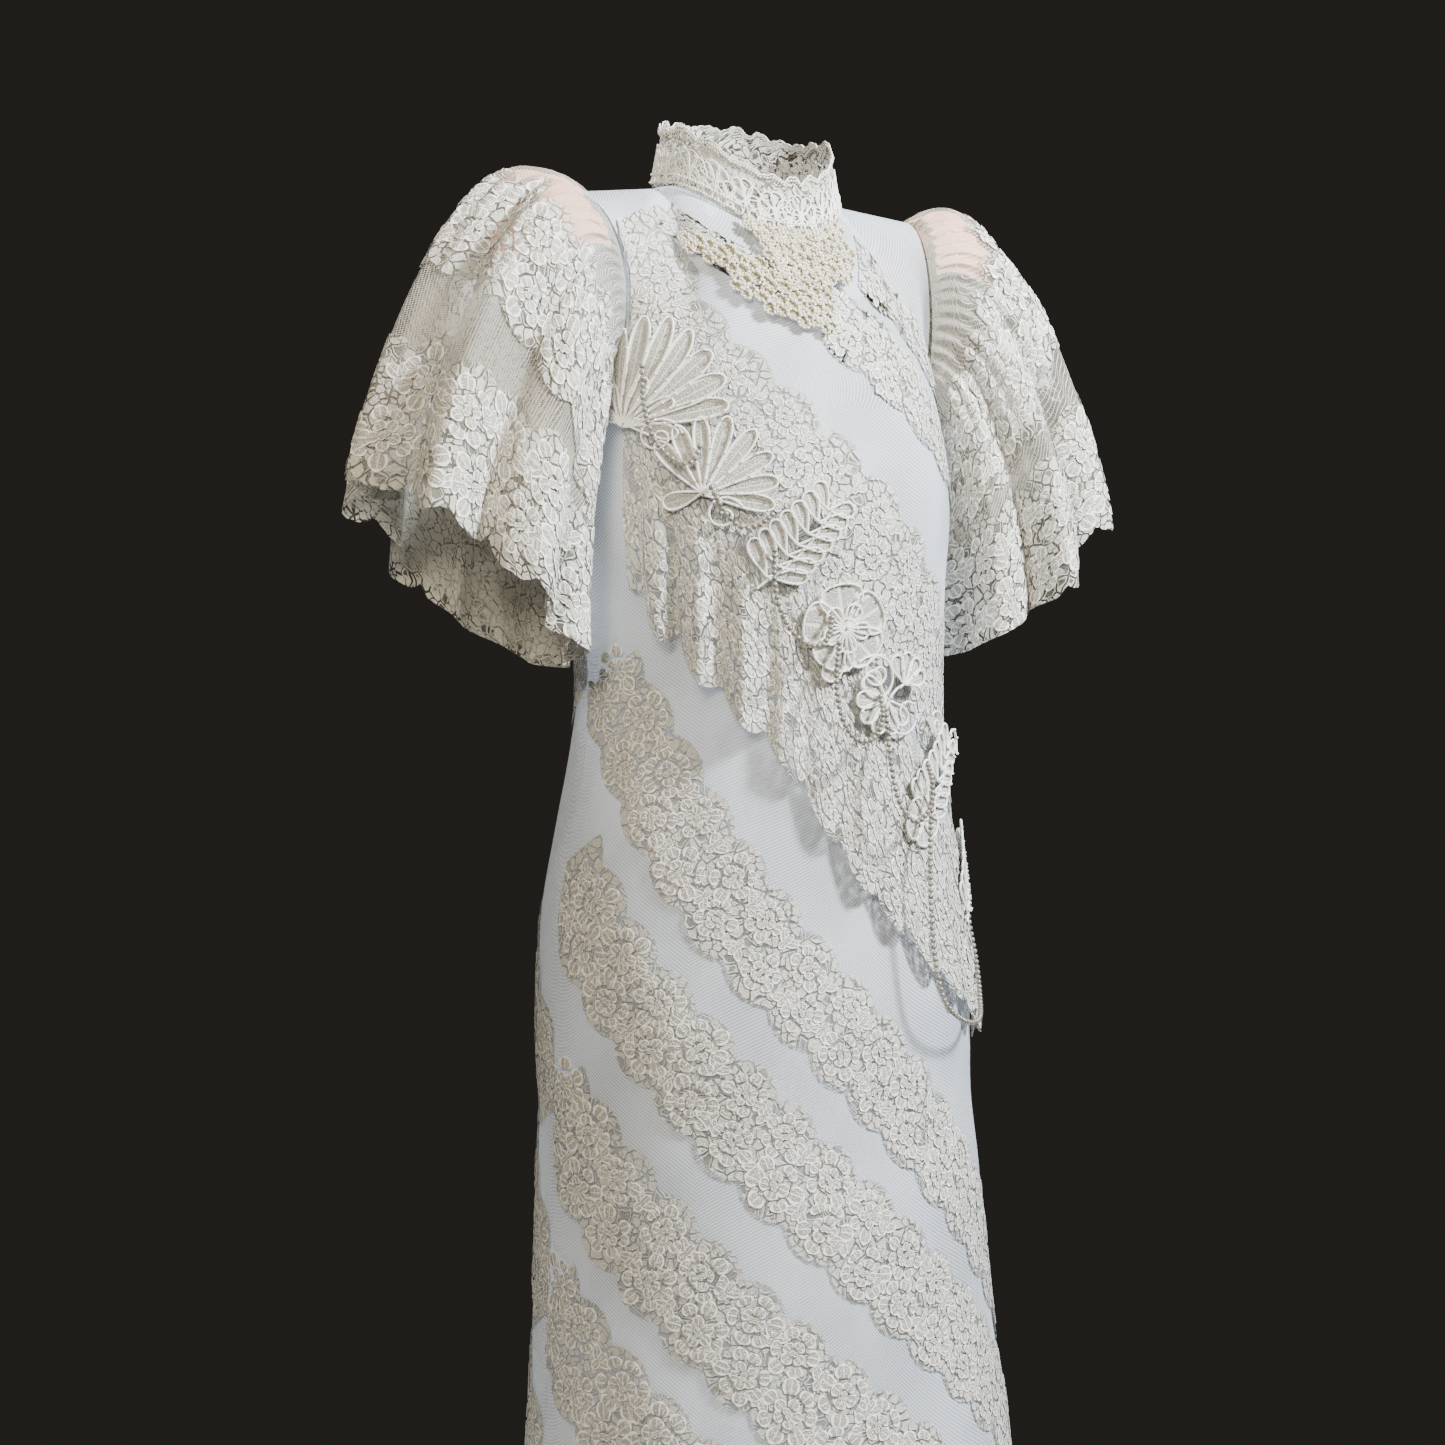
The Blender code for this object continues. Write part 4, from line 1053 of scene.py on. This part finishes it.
RoseRow = namedtuple("RoseRow", "row size")
FLOUNCE_ROSES = (RoseRow(3.5, 0.018), RoseRow(9.0, 0.021), RoseRow(14.0, 0.022), RoseRow(18.0, 0.019))

Edge = namedtuple("Edge", "across top bottom")
FLOUNCE_EDGES = (
    Edge(-0.76, -0.168, -0.335),
    Edge(-0.60, -0.200, -0.385),
    Edge(-0.25, -0.300, -0.475),
    Edge(0.00, -0.390, -0.570),
    Edge(0.25, -0.460, -0.645),
    Edge(0.50, -0.530, -0.690),
    Edge(0.72, -0.580, -0.712),
)


def over_front(across, height, away):
    """Points over the front panel; across runs from -1 at the right side seam to 1 at the left."""
    column = (np.asarray(across) + 1) / 2 * NET_COLUMNS
    row = np.array([row_at(front_cloth, place, level) for place, level in zip(column, height)])
    return front_cloth.at(column, row, away)


def flounce_row(share_along, share_down):
    """One row of the flounce, moved out from the bodice by its flutes."""
    acrosses = [edge.across for edge in FLOUNCE_EDGES]
    across = acrosses[0] + (acrosses[-1] - acrosses[0]) * share_along
    top = np.interp(across, acrosses, [edge.top for edge in FLOUNCE_EDGES])
    bottom = np.interp(across, acrosses, [edge.bottom for edge in FLOUNCE_EDGES])
    phase = 2 * math.pi * FLOUNCE_WAVES * (share_along + 0.008 * np.sin(11 * share_along + 0.5))
    tapered = eased(share_along / 0.08) * eased((1 - share_along) / 0.08)
    growth = max(share_down - FLOUNCE_FLAT_SHARE, 0) / (1 - FLOUNCE_FLAT_SHARE)
    wave = np.cos(phase) + 0.22 * np.cos(2.3 * phase + 1.0)
    full = 1 - 0.72 * eased((share_along - 0.12) / 0.30)
    lift = FLOUNCE_LIFT * (1 - 0.5 * eased((share_along - 0.6) / 0.4))
    out = growth**0.8 * tapered * (FLOUNCE_MEAN * (0.35 + 0.65 * full) + FLOUNCE_WAVE * full * wave)
    gathers = 0.0007 * np.cos(4.0 * phase) * max(1 - share_down / 0.6, 0)
    scallop = 0.085 * np.abs(np.cos(phase / 2)) ** 0.7 * share_down**3
    level = top + (bottom - top) * (share_down * 0.935 + scallop)
    return over_front(across, level, lift + out + gathers)


along = np.linspace(0, 1, FLOUNCE_COLUMNS + 1)
points = np.array([flounce_row(along, share) for share in np.linspace(0, 1, FLOUNCE_ROWS + 1)])
flounce_cloth = Cloth(points, outward(points))
flounce = add_cloth("flounce_lace", points, LACE_GROUND, flounce_cloth.flat)
spots = []
for lane, (row, size) in enumerate(FLOUNCE_ROSES):
    reach = flounce_cloth.across[int(row)]
    for number in range(int(reach[-1] / FLOUNCE_ROSE_PITCH)):
        at = (number + 0.5 * (lane % 2) + 0.4) * FLOUNCE_ROSE_PITCH
        column = np.interp(at, reach, np.arange(FLOUNCE_COLUMNS + 1))
        radius = size * lace_random.uniform(0.92, 1.08)
        spots.append(Spot(column, row, radius, lace_random.uniform(0, 6.28), "rose"))
roses = add_flowers("flounce_lace_roses", flounce_cloth, spots, ROSE_LIFT, ROSE_LACE)
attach(roses, "root")
declare_sheet(flounce, ["flounce"])

# Corded motifs: flowers, leaves, a shell and scrolls of thick white cord on a fine filling, cut from
# guipure lace and sewn along the flounce's upper edge. Small sequins are stitched over them.
CORD_RADIUS = 0.0010
CORD_SIDES = 5
MOTIF_AWAY = 0.0118
MOTIF_CORD_AWAY = 0.0010
SEQUIN_DIAMETER = 0.0022
SEQUIN_SPACING = 0.0115
BEADS_AWAY = 0.0012


def cord_material(name, colour, shade):
    """Cotton cord: a fine grain and a soft sheen."""
    material, tree, shader = new_material(name, colour, 0.45)
    noise = add_node(tree, "ShaderNodeTexNoise", Vector=own_place(tree), Scale=900.0, Detail=2.0)
    grain = noise.outputs["Fac"]
    two_tone(tree, shader, ramp(tree, grain, 0.35, 0.65), shade, colour)
    relief(tree, shader, grain, 0.5, 0.0003)
    shader.inputs["Sheen Weight"].default_value = 0.3
    return material


WHITE_CORD = cord_material("white cotton cord", (0.97, 0.97, 0.95), (0.86, 0.86, 0.82))
# The motif filling's dark second colour is painted shade in its low pits and pin holes.
MOTIF_FILLING = rose_material("motif filling", (0.80, 0.80, 0.78), (0.38, 0.37, 0.33))


def loop(length, half_width, angle, shift=(0.0, 0.0), count=22, point=0.5):
    """A petal-shaped closed loop of cord that starts and ends at its foot."""
    turn = np.linspace(0, 2 * math.pi, count)
    x = half_width * np.sin(turn) * np.sin(turn / 2) ** point
    y = length * np.sin(turn / 2) ** 1.2
    return lean_over(np.stack((x, y), -1), angle) + shift


def spiral(radius, turns, start, shift=(0.0, 0.0), count=30, hand=1):
    """A scroll of cord that winds in to its middle."""
    share = np.linspace(0, 1, count)
    angle = start + hand * share * turns * 2 * math.pi
    reach = radius * (1 - 0.85 * share)
    return np.stack((reach * np.cos(angle) + shift[0], reach * np.sin(angle) + shift[1]), -1)


def shell_lines():
    turns = np.linspace(-1.0, 1.0, 9)
    lines = [loop(0.050 + 0.012 * math.cos(a * 1.4), 0.0062, a, (0, -0.030)) for a in turns]
    lines += [loop(0.026, 0.0045, a, (0, -0.028)) for a in np.linspace(-1.5, 1.5, 5)]
    lines.append(spiral(0.011, 1.4, 0.5, (0.018, -0.030)))
    return [*lines, spiral(0.011, 1.4, 2.6, (-0.018, -0.030), hand=-1)]


def fan_lines():
    lines = [loop(0.046 - 0.008 * abs(a), 0.0050, a, (0, -0.024)) for a in np.linspace(-1.2, 1.2, 8)]
    return lines + [spiral(0.010, 1.3, 1.0, (0.014, -0.028)), loop(0.022, 0.005, 2.4, (0, -0.022))]


def leaf_lines():
    lines = [np.stack((0.010 * np.sin(np.linspace(0, 2.4, 20)), np.linspace(-0.034, 0.036, 20)), -1)]
    for number, y in enumerate(np.linspace(-0.026, 0.026, 7)):
        for side in (-1, 1):
            foot = (0.004 + 0.004 * math.sin(y * 40), y)
            lines.append(loop(0.024 - 0.0012 * number, 0.0052, -side * 0.95, foot))
    return lines


def flower_lines():
    lines = [loop(0.023, 0.0125, a, point=0.2) for a in np.linspace(0.2, 0.2 + 2 * math.pi, 6)[:-1]]
    lines += [loop(0.013, 0.0050, a) for a in np.linspace(0.8, 0.8 + 2 * math.pi, 6)[:-1]]
    lines += [spiral(0.006, 1.2, 0.0), spiral(0.010, 1.3, 1.2, (0.020, -0.024))]
    return [*lines, loop(0.02, 0.006, 2.6, (0, -0.01))]


def scroll_lines():
    lines = [spiral(0.019, 1.6, 0.4, (0.012, -0.004)), spiral(0.015, 1.5, 2.8, (-0.016, 0.004), hand=-1)]
    lines += [loop(0.020, 0.0055, a, (-0.004, -0.002)) for a in np.linspace(1.4, 4.4, 6)]
    return lines + [loop(0.018, 0.0050, a, (0.004, 0.010)) for a in np.linspace(-0.9, 0.9, 4)]


def spray_lines():
    lines = leaf_lines()
    turns = np.linspace(0, 2 * math.pi, 6)[:-1]
    lines += [loop(0.016, 0.0080, a, (0.002, -0.030), point=0.2) for a in turns]
    lines.append(spiral(0.012, 1.4, 0.0, (0.016, 0.034)))
    return [*lines, spiral(0.010, 1.4, 3.0, (-0.014, 0.030), hand=-1)]


Motif = namedtuple("Motif", "name lines across height lean scale away")
MOTIFS = (
    Motif("shell", shell_lines, -0.67, -0.185, -20, 1.35, MOTIF_AWAY),
    Motif("fan", fan_lines, -0.43, -0.245, -30, 1.35, MOTIF_AWAY),
    Motif("leaf", leaf_lines, -0.25, -0.305, -35, 1.25, MOTIF_AWAY),
    Motif("flower", flower_lines, -0.08, -0.370, 0, 1.45, MOTIF_AWAY),
    Motif("scroll", scroll_lines, 0.10, -0.425, -25, 1.40, MOTIF_AWAY),
    Motif("spray", spray_lines, 0.31, -0.490, -35, 1.25, 0.0108),
    Motif("hip", leaf_lines, 0.60, -0.575, -25, 1.20, 0.0078),
)


def tube(line, radius, sides):
    """Points and faces of a round cord along a line of points."""
    ahead = np.gradient(line, axis=0)
    ahead /= np.maximum(np.linalg.norm(ahead, axis=1, keepdims=True), 1e-12)
    aside = np.cross(ahead, (0.31, -0.80, 0.51))
    aside /= np.maximum(np.linalg.norm(aside, axis=1, keepdims=True), 1e-12)
    over = np.cross(aside, ahead)
    turn = 2 * math.pi * np.arange(sides) / sides
    ring = aside[:, None] * np.cos(turn)[:, None] + over[:, None] * np.sin(turn)[:, None]
    points = (line[:, None] + ring * radius).reshape(-1, 3)
    faces = []
    for step in range(len(line) - 1):
        for corner in range(sides):
            after = (corner + 1) % sides
            low, high = step * sides, (step + 1) * sides
            faces.append((low + corner, high + corner, high + after, low + after))
    return points, np.array(faces)


def add_cords(name, lines, radius, material, sides=CORD_SIDES):
    points, faces, count = [], [], 0
    for line in lines:
        made, quads = tube(line, radius, sides)
        points.append(made)
        faces.append(quads + count)
        count += len(made)
    return add_mesh(name, np.concatenate(points), np.concatenate(faces), material)


def add_filling(name, cloth, place, lean, lines, away, material):
    """The thin filling inside every closed loop, as a fan of narrow quads from its foot."""
    points, coordinates, faces, count = [], [], [], 0
    for line in lines:
        half = len(line) // 2
        left, right = line[: half + 1], line[::-1][: half + 1]
        middle = (left + right) / 2
        for column, edge in enumerate((left, middle, right)):
            turned = lean_over(edge, lean)
            there = cloth.beside(*place, turned[:, 0], turned[:, 1])
            points.append(cloth.at(*there, np.full(len(edge), away)))
            upward = np.linspace(0, 1, len(edge))
            coordinates.append(np.stack((np.full(len(edge), column / 2), upward), -1))
        rows = half + 1
        for column in range(2):
            low = count + column * rows + np.arange(rows - 1)
            faces.append(np.stack((low, low + rows, low + rows + 1, low + 1), 1))
        count += 3 * rows
    points, faces, coordinates = (np.concatenate(parts) for parts in (points, faces, coordinates))
    return add_mesh(name, points, faces, material, coordinates)


SEQUIN = pearl_material("clear sequin", (0.93, 0.93, 0.92), (0.78, 0.78, 0.78))
sequin_beads = bead_tree("sequins", SEQUIN)


def lay_motif(name, node, motif, cord, filling, cord_radius, bead_spacing, bead_diameter, slot):
    """One motif over the front: its filling, the cord round every loop, and a bead row along them."""
    column = (motif.across + 1) / 2 * NET_COLUMNS
    place = (column, row_at(front_cloth, column, motif.height))
    lean = math.radians(motif.lean)
    lines = [line * motif.scale for line in motif.lines()]
    laid = []
    for line in lines:
        turned = lean_over(line, lean)
        there = front_cloth.beside(*place, turned[:, 0], turned[:, 1])
        laid.append(front_cloth.at(*there, np.full(len(line), motif.away + MOTIF_CORD_AWAY)))
    loops = [line for line in lines if np.linalg.norm(line[0] - line[-1]) < 1e-6]
    fill = add_filling(name + "_filling", front_cloth, place, lean, loops, motif.away, filling)
    cords = add_cords(name, laid, cord_radius, cord)
    spot = np.array([place[0]]), np.array([place[1]])
    out = (front_cloth.at(*spot, [1.0])[0] - front_cloth.at(*spot, [0.0])[0]) * BEADS_AWAY
    tree, every = (sequin_beads, 2) if slot == "corded_lace" else (neck_beads, 1)
    bead_lines = [line + out for line in laid[::every]]
    beads = thread_beads(name + "_beads", tree, bead_lines, bead_spacing, bead_diameter)
    for piece in (fill, cords, beads):
        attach(piece, "root")
    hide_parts(node)


for motif in MOTIFS:
    lay_motif(
        f"corded_{motif.name}", f"motif_{motif.name}", motif, WHITE_CORD, MOTIF_FILLING, CORD_RADIUS,
        SEQUIN_SPACING, SEQUIN_DIAMETER, "corded_lace",
    )

# Neck motif: two beaded appliques of yellower cream lace below the collar, worked in lobes of cord with
# rows of tiny pearls.
NECK_CORD_RADIUS = 0.0008
NECK_BEAD_DIAMETER = 0.0022
NECK_BEAD_SPACING = 0.0036

CREAM_CORD = cord_material("cream cotton cord", (0.96, 0.93, 0.80), (0.80, 0.75, 0.58))
# The cream filling's dark brown second colour is painted shade in its low pits and pin holes.
CREAM_FILLING = rose_material("cream filling", (0.72, 0.68, 0.52), (0.24, 0.21, 0.13))
neck_beads = bead_tree("tiny pearls", pearl_material("tiny pearl", (0.92, 0.89, 0.80), (0.74, 0.69, 0.56)))


def rosette(shift, size, lobes, start):
    """A round of lobes about a coiled middle."""
    turns = np.linspace(0, 2 * math.pi, lobes + 1)[:-1]
    lines = [loop(size, size * 0.36, start + a, shift, 16, 0.3) for a in turns]
    return [*lines, spiral(size * 0.40, 1.2, start, shift, 14)]


def rosettes(places):
    return [line for x, y, size, lobes in places for line in rosette((x, y), size, lobes, 40 * x + 70 * y)]


Rosette = namedtuple("Rosette", "x y size lobes")
RIGHT_ROSETTES = (
    Rosette(0.020, 0.006, 0.0135, 6),
    Rosette(0.000, 0.002, 0.0125, 5),
    Rosette(-0.018, -0.002, 0.0115, 6),
    Rosette(0.008, -0.016, 0.0110, 5),
    Rosette(-0.033, -0.005, 0.0095, 5),
    Rosette(0.027, -0.013, 0.0115, 6),
    Rosette(-0.010, -0.016, 0.0090, 5),
    Rosette(0.038, 0.004, 0.0110, 5),
    Rosette(-0.046, -0.009, 0.0070, 5),
    Rosette(0.014, 0.019, 0.0095, 5),
    Rosette(0.042, -0.012, 0.0090, 5),
)
LEFT_ROSETTES = (
    Rosette(-0.006, 0.010, 0.0140, 6),
    Rosette(0.014, 0.010, 0.0120, 5),
    Rosette(-0.024, 0.006, 0.0120, 6),
    Rosette(0.003, -0.008, 0.0125, 5),
    Rosette(-0.017, -0.012, 0.0110, 5),
    Rosette(0.021, -0.009, 0.0105, 6),
    Rosette(-0.034, -0.006, 0.0090, 5),
    Rosette(0.028, 0.008, 0.0085, 5),
    Rosette(-0.006, -0.021, 0.0090, 5),
    Rosette(-0.038, 0.010, 0.0080, 5),
    Rosette(0.012, -0.020, 0.0075, 5),
)


def neck_right_lines():
    return rosettes(RIGHT_ROSETTES)


def neck_left_lines():
    return rosettes(LEFT_ROSETTES)


for motif in (
    Motif("neck_right", neck_right_lines, -0.225, -0.109, -18, 1.22, 0.0052),
    Motif("neck_left", neck_left_lines, 0.01, -0.089, 8, 1.26, 0.0064),
):
    lay_motif(
        f"beaded_{motif.name}", f"motif_{motif.name}", motif, CREAM_CORD, CREAM_FILLING, NECK_CORD_RADIUS,
        NECK_BEAD_SPACING, NECK_BEAD_DIAMETER, "neck_lace",
    )

# Stand collar: corded guipure lace that stands up round the neck, its upper edge in points and scallops
# and its foot and middle followed by rows of tiny pearls. It is open at the centre back.
COLLAR_COLUMNS = 240
COLLAR_ROWS = 16
COLLAR_HEIGHTS = {"front": 0.040, "back": 0.043}
COLLAR_TOP_SCALE = 0.90
COLLAR_SEAT = 0.0018
COLLAR_POINTS = 20
COLLAR_POINT_RISE = 0.0065
COLLAR_CORD_RADIUS = 0.0007
COLLAR_CORD_AWAY = 0.0011
COLLAR_PEARLS_AWAY = 0.0016
COLLAR_PEARL_SPACING = 0.0026
COLLAR_LINE_POINTS = 361


def collar_grid():
    turn = np.linspace(-179.8, 179.8, COLLAR_COLUMNS + 1)
    angle = np.radians(turn)
    front = np.abs(turn) < 90
    depth = np.where(front, NECK_FRONT_DEPTH, NECK_BACK_DEPTH)
    middle = np.where(front, NECK_HEIGHTS["front"], NECK_HEIGHTS["back"])
    rise = NECK_HEIGHTS["side"] + (middle - NECK_HEIGHTS["side"]) * np.cos(angle) ** 2
    behind = eased((np.abs(turn) - 60) / 60)
    tall = COLLAR_HEIGHTS["front"] + (COLLAR_HEIGHTS["back"] - COLLAR_HEIGHTS["front"]) * behind
    rows = []
    for share in np.linspace(1, 0, COLLAR_ROWS + 1):
        scale = 1 - (1 - COLLAR_TOP_SCALE) * share
        points = np.abs(np.cos(COLLAR_POINTS * angle / 2 + 0.9 * np.sin(3 * angle))) ** 1.3
        peak = points * COLLAR_POINT_RISE * share**3 * (0.65 + 0.35 * np.sin(5 * angle + 1.0))
        peak = peak + 0.0016 * np.abs(np.sin(31 * angle)) * share**6
        wave = 0.0012 * np.sin(7 * angle) * share
        rows.append(
            np.stack(
                (
                    NECK_HALF_WIDTH * np.sin(angle) * scale * (1 + wave / 0.07),
                    NECK_CENTRE_BACKWARD - depth * np.cos(angle) * scale,
                    rise + COLLAR_SEAT + tall * share + peak,
                ),
                -1,
            )
        )
    return np.array(rows)


points = collar_grid()
collar_cloth = Cloth(points, outward(points))
collar_ground = add_cloth("collar_ground", points, LACE_GROUND, collar_cloth.flat)
collar_cords, collar_rows = [], []
for number in range(COLLAR_POINTS * 2):
    column = (number + 0.5) * COLLAR_COLUMNS / (COLLAR_POINTS * 2)
    tall = number % 2 == 0
    tip = 0.012 if tall else 0.003
    sway = 0.2 * math.sin(number)
    shapes = [loop(0.016, 0.0060, a + sway, (0, tip - 0.016), 18) for a in (-0.75, 0.0, 0.75)]
    shapes += [loop(0.015, 0.0046, math.pi + a, (0, -0.005), 16) for a in (-0.6, 0.6)]
    shapes += [spiral(0.0040, 1.2, 0.3 + number, (0.0, tip - 0.016), 12)]
    for shape in shapes:
        there = collar_cloth.beside(column, COLLAR_ROWS * 0.52, shape[:, 0], shape[:, 1])
        collar_cords.append(collar_cloth.at(*there, np.full(len(shape), COLLAR_CORD_AWAY)))
columns = np.linspace(0, COLLAR_COLUMNS, COLLAR_LINE_POINTS)
away = np.full(COLLAR_LINE_POINTS, COLLAR_PEARLS_AWAY)
collar_cords.append(collar_cloth.at(columns, np.full(COLLAR_LINE_POINTS, 0.2), away))
for row in (0.9, COLLAR_ROWS - 3.5, COLLAR_ROWS - 1.2):
    collar_rows.append(collar_cloth.at(columns, np.full(COLLAR_LINE_POINTS, row), away))
collar = add_cords("collar_cords", collar_cords, COLLAR_CORD_RADIUS, WHITE_CORD)
pearls = thread_beads("collar_pearls", neck_beads, collar_rows, COLLAR_PEARL_SPACING, NECK_BEAD_DIAMETER)
for piece in (collar, collar_ground, pearls):
    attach(piece, "root")
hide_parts("collar")

# Buttons: small satin-covered domes down the left edge of the back closing, each held by a thin loop
# of cord.
BUTTON_COUNT = 5
BUTTON_RADIUS = 0.0055
BUTTON_SPACING = 0.023
BUTTON_FIRST_HEIGHT = -0.034
BUTTON_ACROSS = 0.0545
BUTTON_LIFT = 0.0018
BUTTON_PROFILE = (
    (1.0, 0.0), (1.0, 0.12), (0.93, 0.30), (0.78, 0.46), (0.55, 0.57), (0.28, 0.62), (0.05, 0.63),
)
BUTTON_SIDES = 24
LOOP_CORD_RADIUS = 0.0007

SATIN, satin_tree, satin_shader = new_material("ivory satin", (0.84, 0.81, 0.74), 0.32)
satin_weave = add_node(
    satin_tree, "ShaderNodeTexNoise", Vector=own_place(satin_tree), Scale=1500.0, Detail=1.0
)
relief(satin_tree, satin_shader, satin_weave.outputs["Fac"], 0.25, 0.0002)
satin_shader.inputs["Sheen Weight"].default_value = 0.4

left_back = BACK_CLOTHS["left"][0]
for number in range(BUTTON_COUNT):
    height = BUTTON_FIRST_HEIGHT - number * BUTTON_SPACING
    column = left_back.columns - 1 - BUTTON_ACROSS * back_middle
    row = row_at(left_back, column, height)
    seat, tip = (left_back.at(np.array([column]), np.array([row]), [lift])[0] for lift in (BUTTON_LIFT, 1.0))
    axis = (tip - seat) / np.linalg.norm(tip - seat)
    sideways = np.cross(axis, (0, 0, 1))
    sideways /= np.linalg.norm(sideways)
    upward = np.cross(sideways, axis)
    turn = 2 * math.pi * np.arange(BUTTON_SIDES + 1) / BUTTON_SIDES
    ring = sideways * np.cos(turn)[:, None] + upward * np.sin(turn)[:, None]
    profile = BUTTON_PROFILE[::-1]
    rows = np.array([seat + (ring * reach + axis * rise) * BUTTON_RADIUS for reach, rise in profile])
    button = add_mesh(f"satin_button_{number + 1}", rows.reshape(-1, 3), grid_faces(*rows.shape[:2]), SATIN)
    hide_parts(f"button_{number + 1}")
    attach(button, "root")
    bend = np.linspace(-0.5 * math.pi, 0.5 * math.pi, 16)
    aside, up = (0.004 - 0.011 * np.cos(bend))[:, None], (0.0062 * np.sin(bend))[:, None]
    hook = seat + axis * 0.0012 + sideways * aside + upward * up
    hook_piece = add_cords(f"button_loop_{number + 1}", [hook], LOOP_CORD_RADIUS, WHITE_CORD)
    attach(hook_piece, "root")

# Floor and light: a plain pale floor, a slightly cool light before the wearer's left, a warm one before
# the right sleeve and a broad one behind.
Light = namedtuple("Light", "name place aim size power colour")
LIGHTS = (
    Light("key", (0.72, -1.25, 0.75), (0.0, 0.0, -0.30), 0.35, 128.0, (0.94, 0.98, 1.0)),
    Light("fill", (-1.5, -1.3, 0.6), (-0.28, 0.0, -0.15), 0.6, 42.0, (1.0, 0.88, 0.68)),
    Light("back", (0.6, 2.6, 1.2), (0.0, 0.0, -0.6), 1.8, 50.0, (1.0, 0.98, 0.95)),
)
FLOOR_RADIUS = 1.05
FLOOR_SIDES = 96

floor_material, floor_tree, floor_shader = new_material("pale floor", (0.72, 0.71, 0.69), 0.6)
floor_tone = add_node(floor_tree, "ShaderNodeTexNoise", Vector=own_place(floor_tree), Scale=3.0, Detail=4.0)
floor_dull = ramp(floor_tree, floor_tone.outputs["Fac"], 0.3, 0.7, 0.55, 0.65)
floor_tree.links.new(floor_dull, floor_shader.inputs["Roughness"])
turns = np.linspace(0, 2 * math.pi, FLOOR_SIDES + 1)[:-1]
level = np.full(FLOOR_SIDES, HEM_HEIGHT - 0.004)
floor_rim = np.stack((np.cos(turns) * FLOOR_RADIUS, np.sin(turns) * FLOOR_RADIUS, level), -1)
floor_mesh = bpy.data.meshes.new("floor")
floor_mesh.from_pydata(floor_rim.tolist(), [], [list(range(FLOOR_SIDES))])
floor_mesh.materials.append(floor_material)
floor = bpy.data.objects.new("floor", floor_mesh)
bpy.context.scene.collection.objects.link(floor)

for name, place, aim, size, power, colour in LIGHTS:
    light_data = bpy.data.lights.new(name, "AREA")
    light_data.shape = "DISK"
    light_data.size = size
    light_data.energy = power
    light_data.color = colour
    light = bpy.data.objects.new(name, light_data)
    light.location = place
    towards = np.array(aim) - np.array(place)
    towards /= np.linalg.norm(towards)
    light.rotation_euler = (math.acos(-towards[2]), 0, math.atan2(-towards[0], towards[1]))
    bpy.context.scene.collection.objects.link(light)

world = bpy.data.worlds.new("studio")
world.use_nodes = True
world.node_tree.nodes["Background"].inputs["Color"].default_value = (0.020, 0.018, 0.015, 1)
world.node_tree.nodes["Background"].inputs["Strength"].default_value = 1.0
bpy.context.scene.world = world
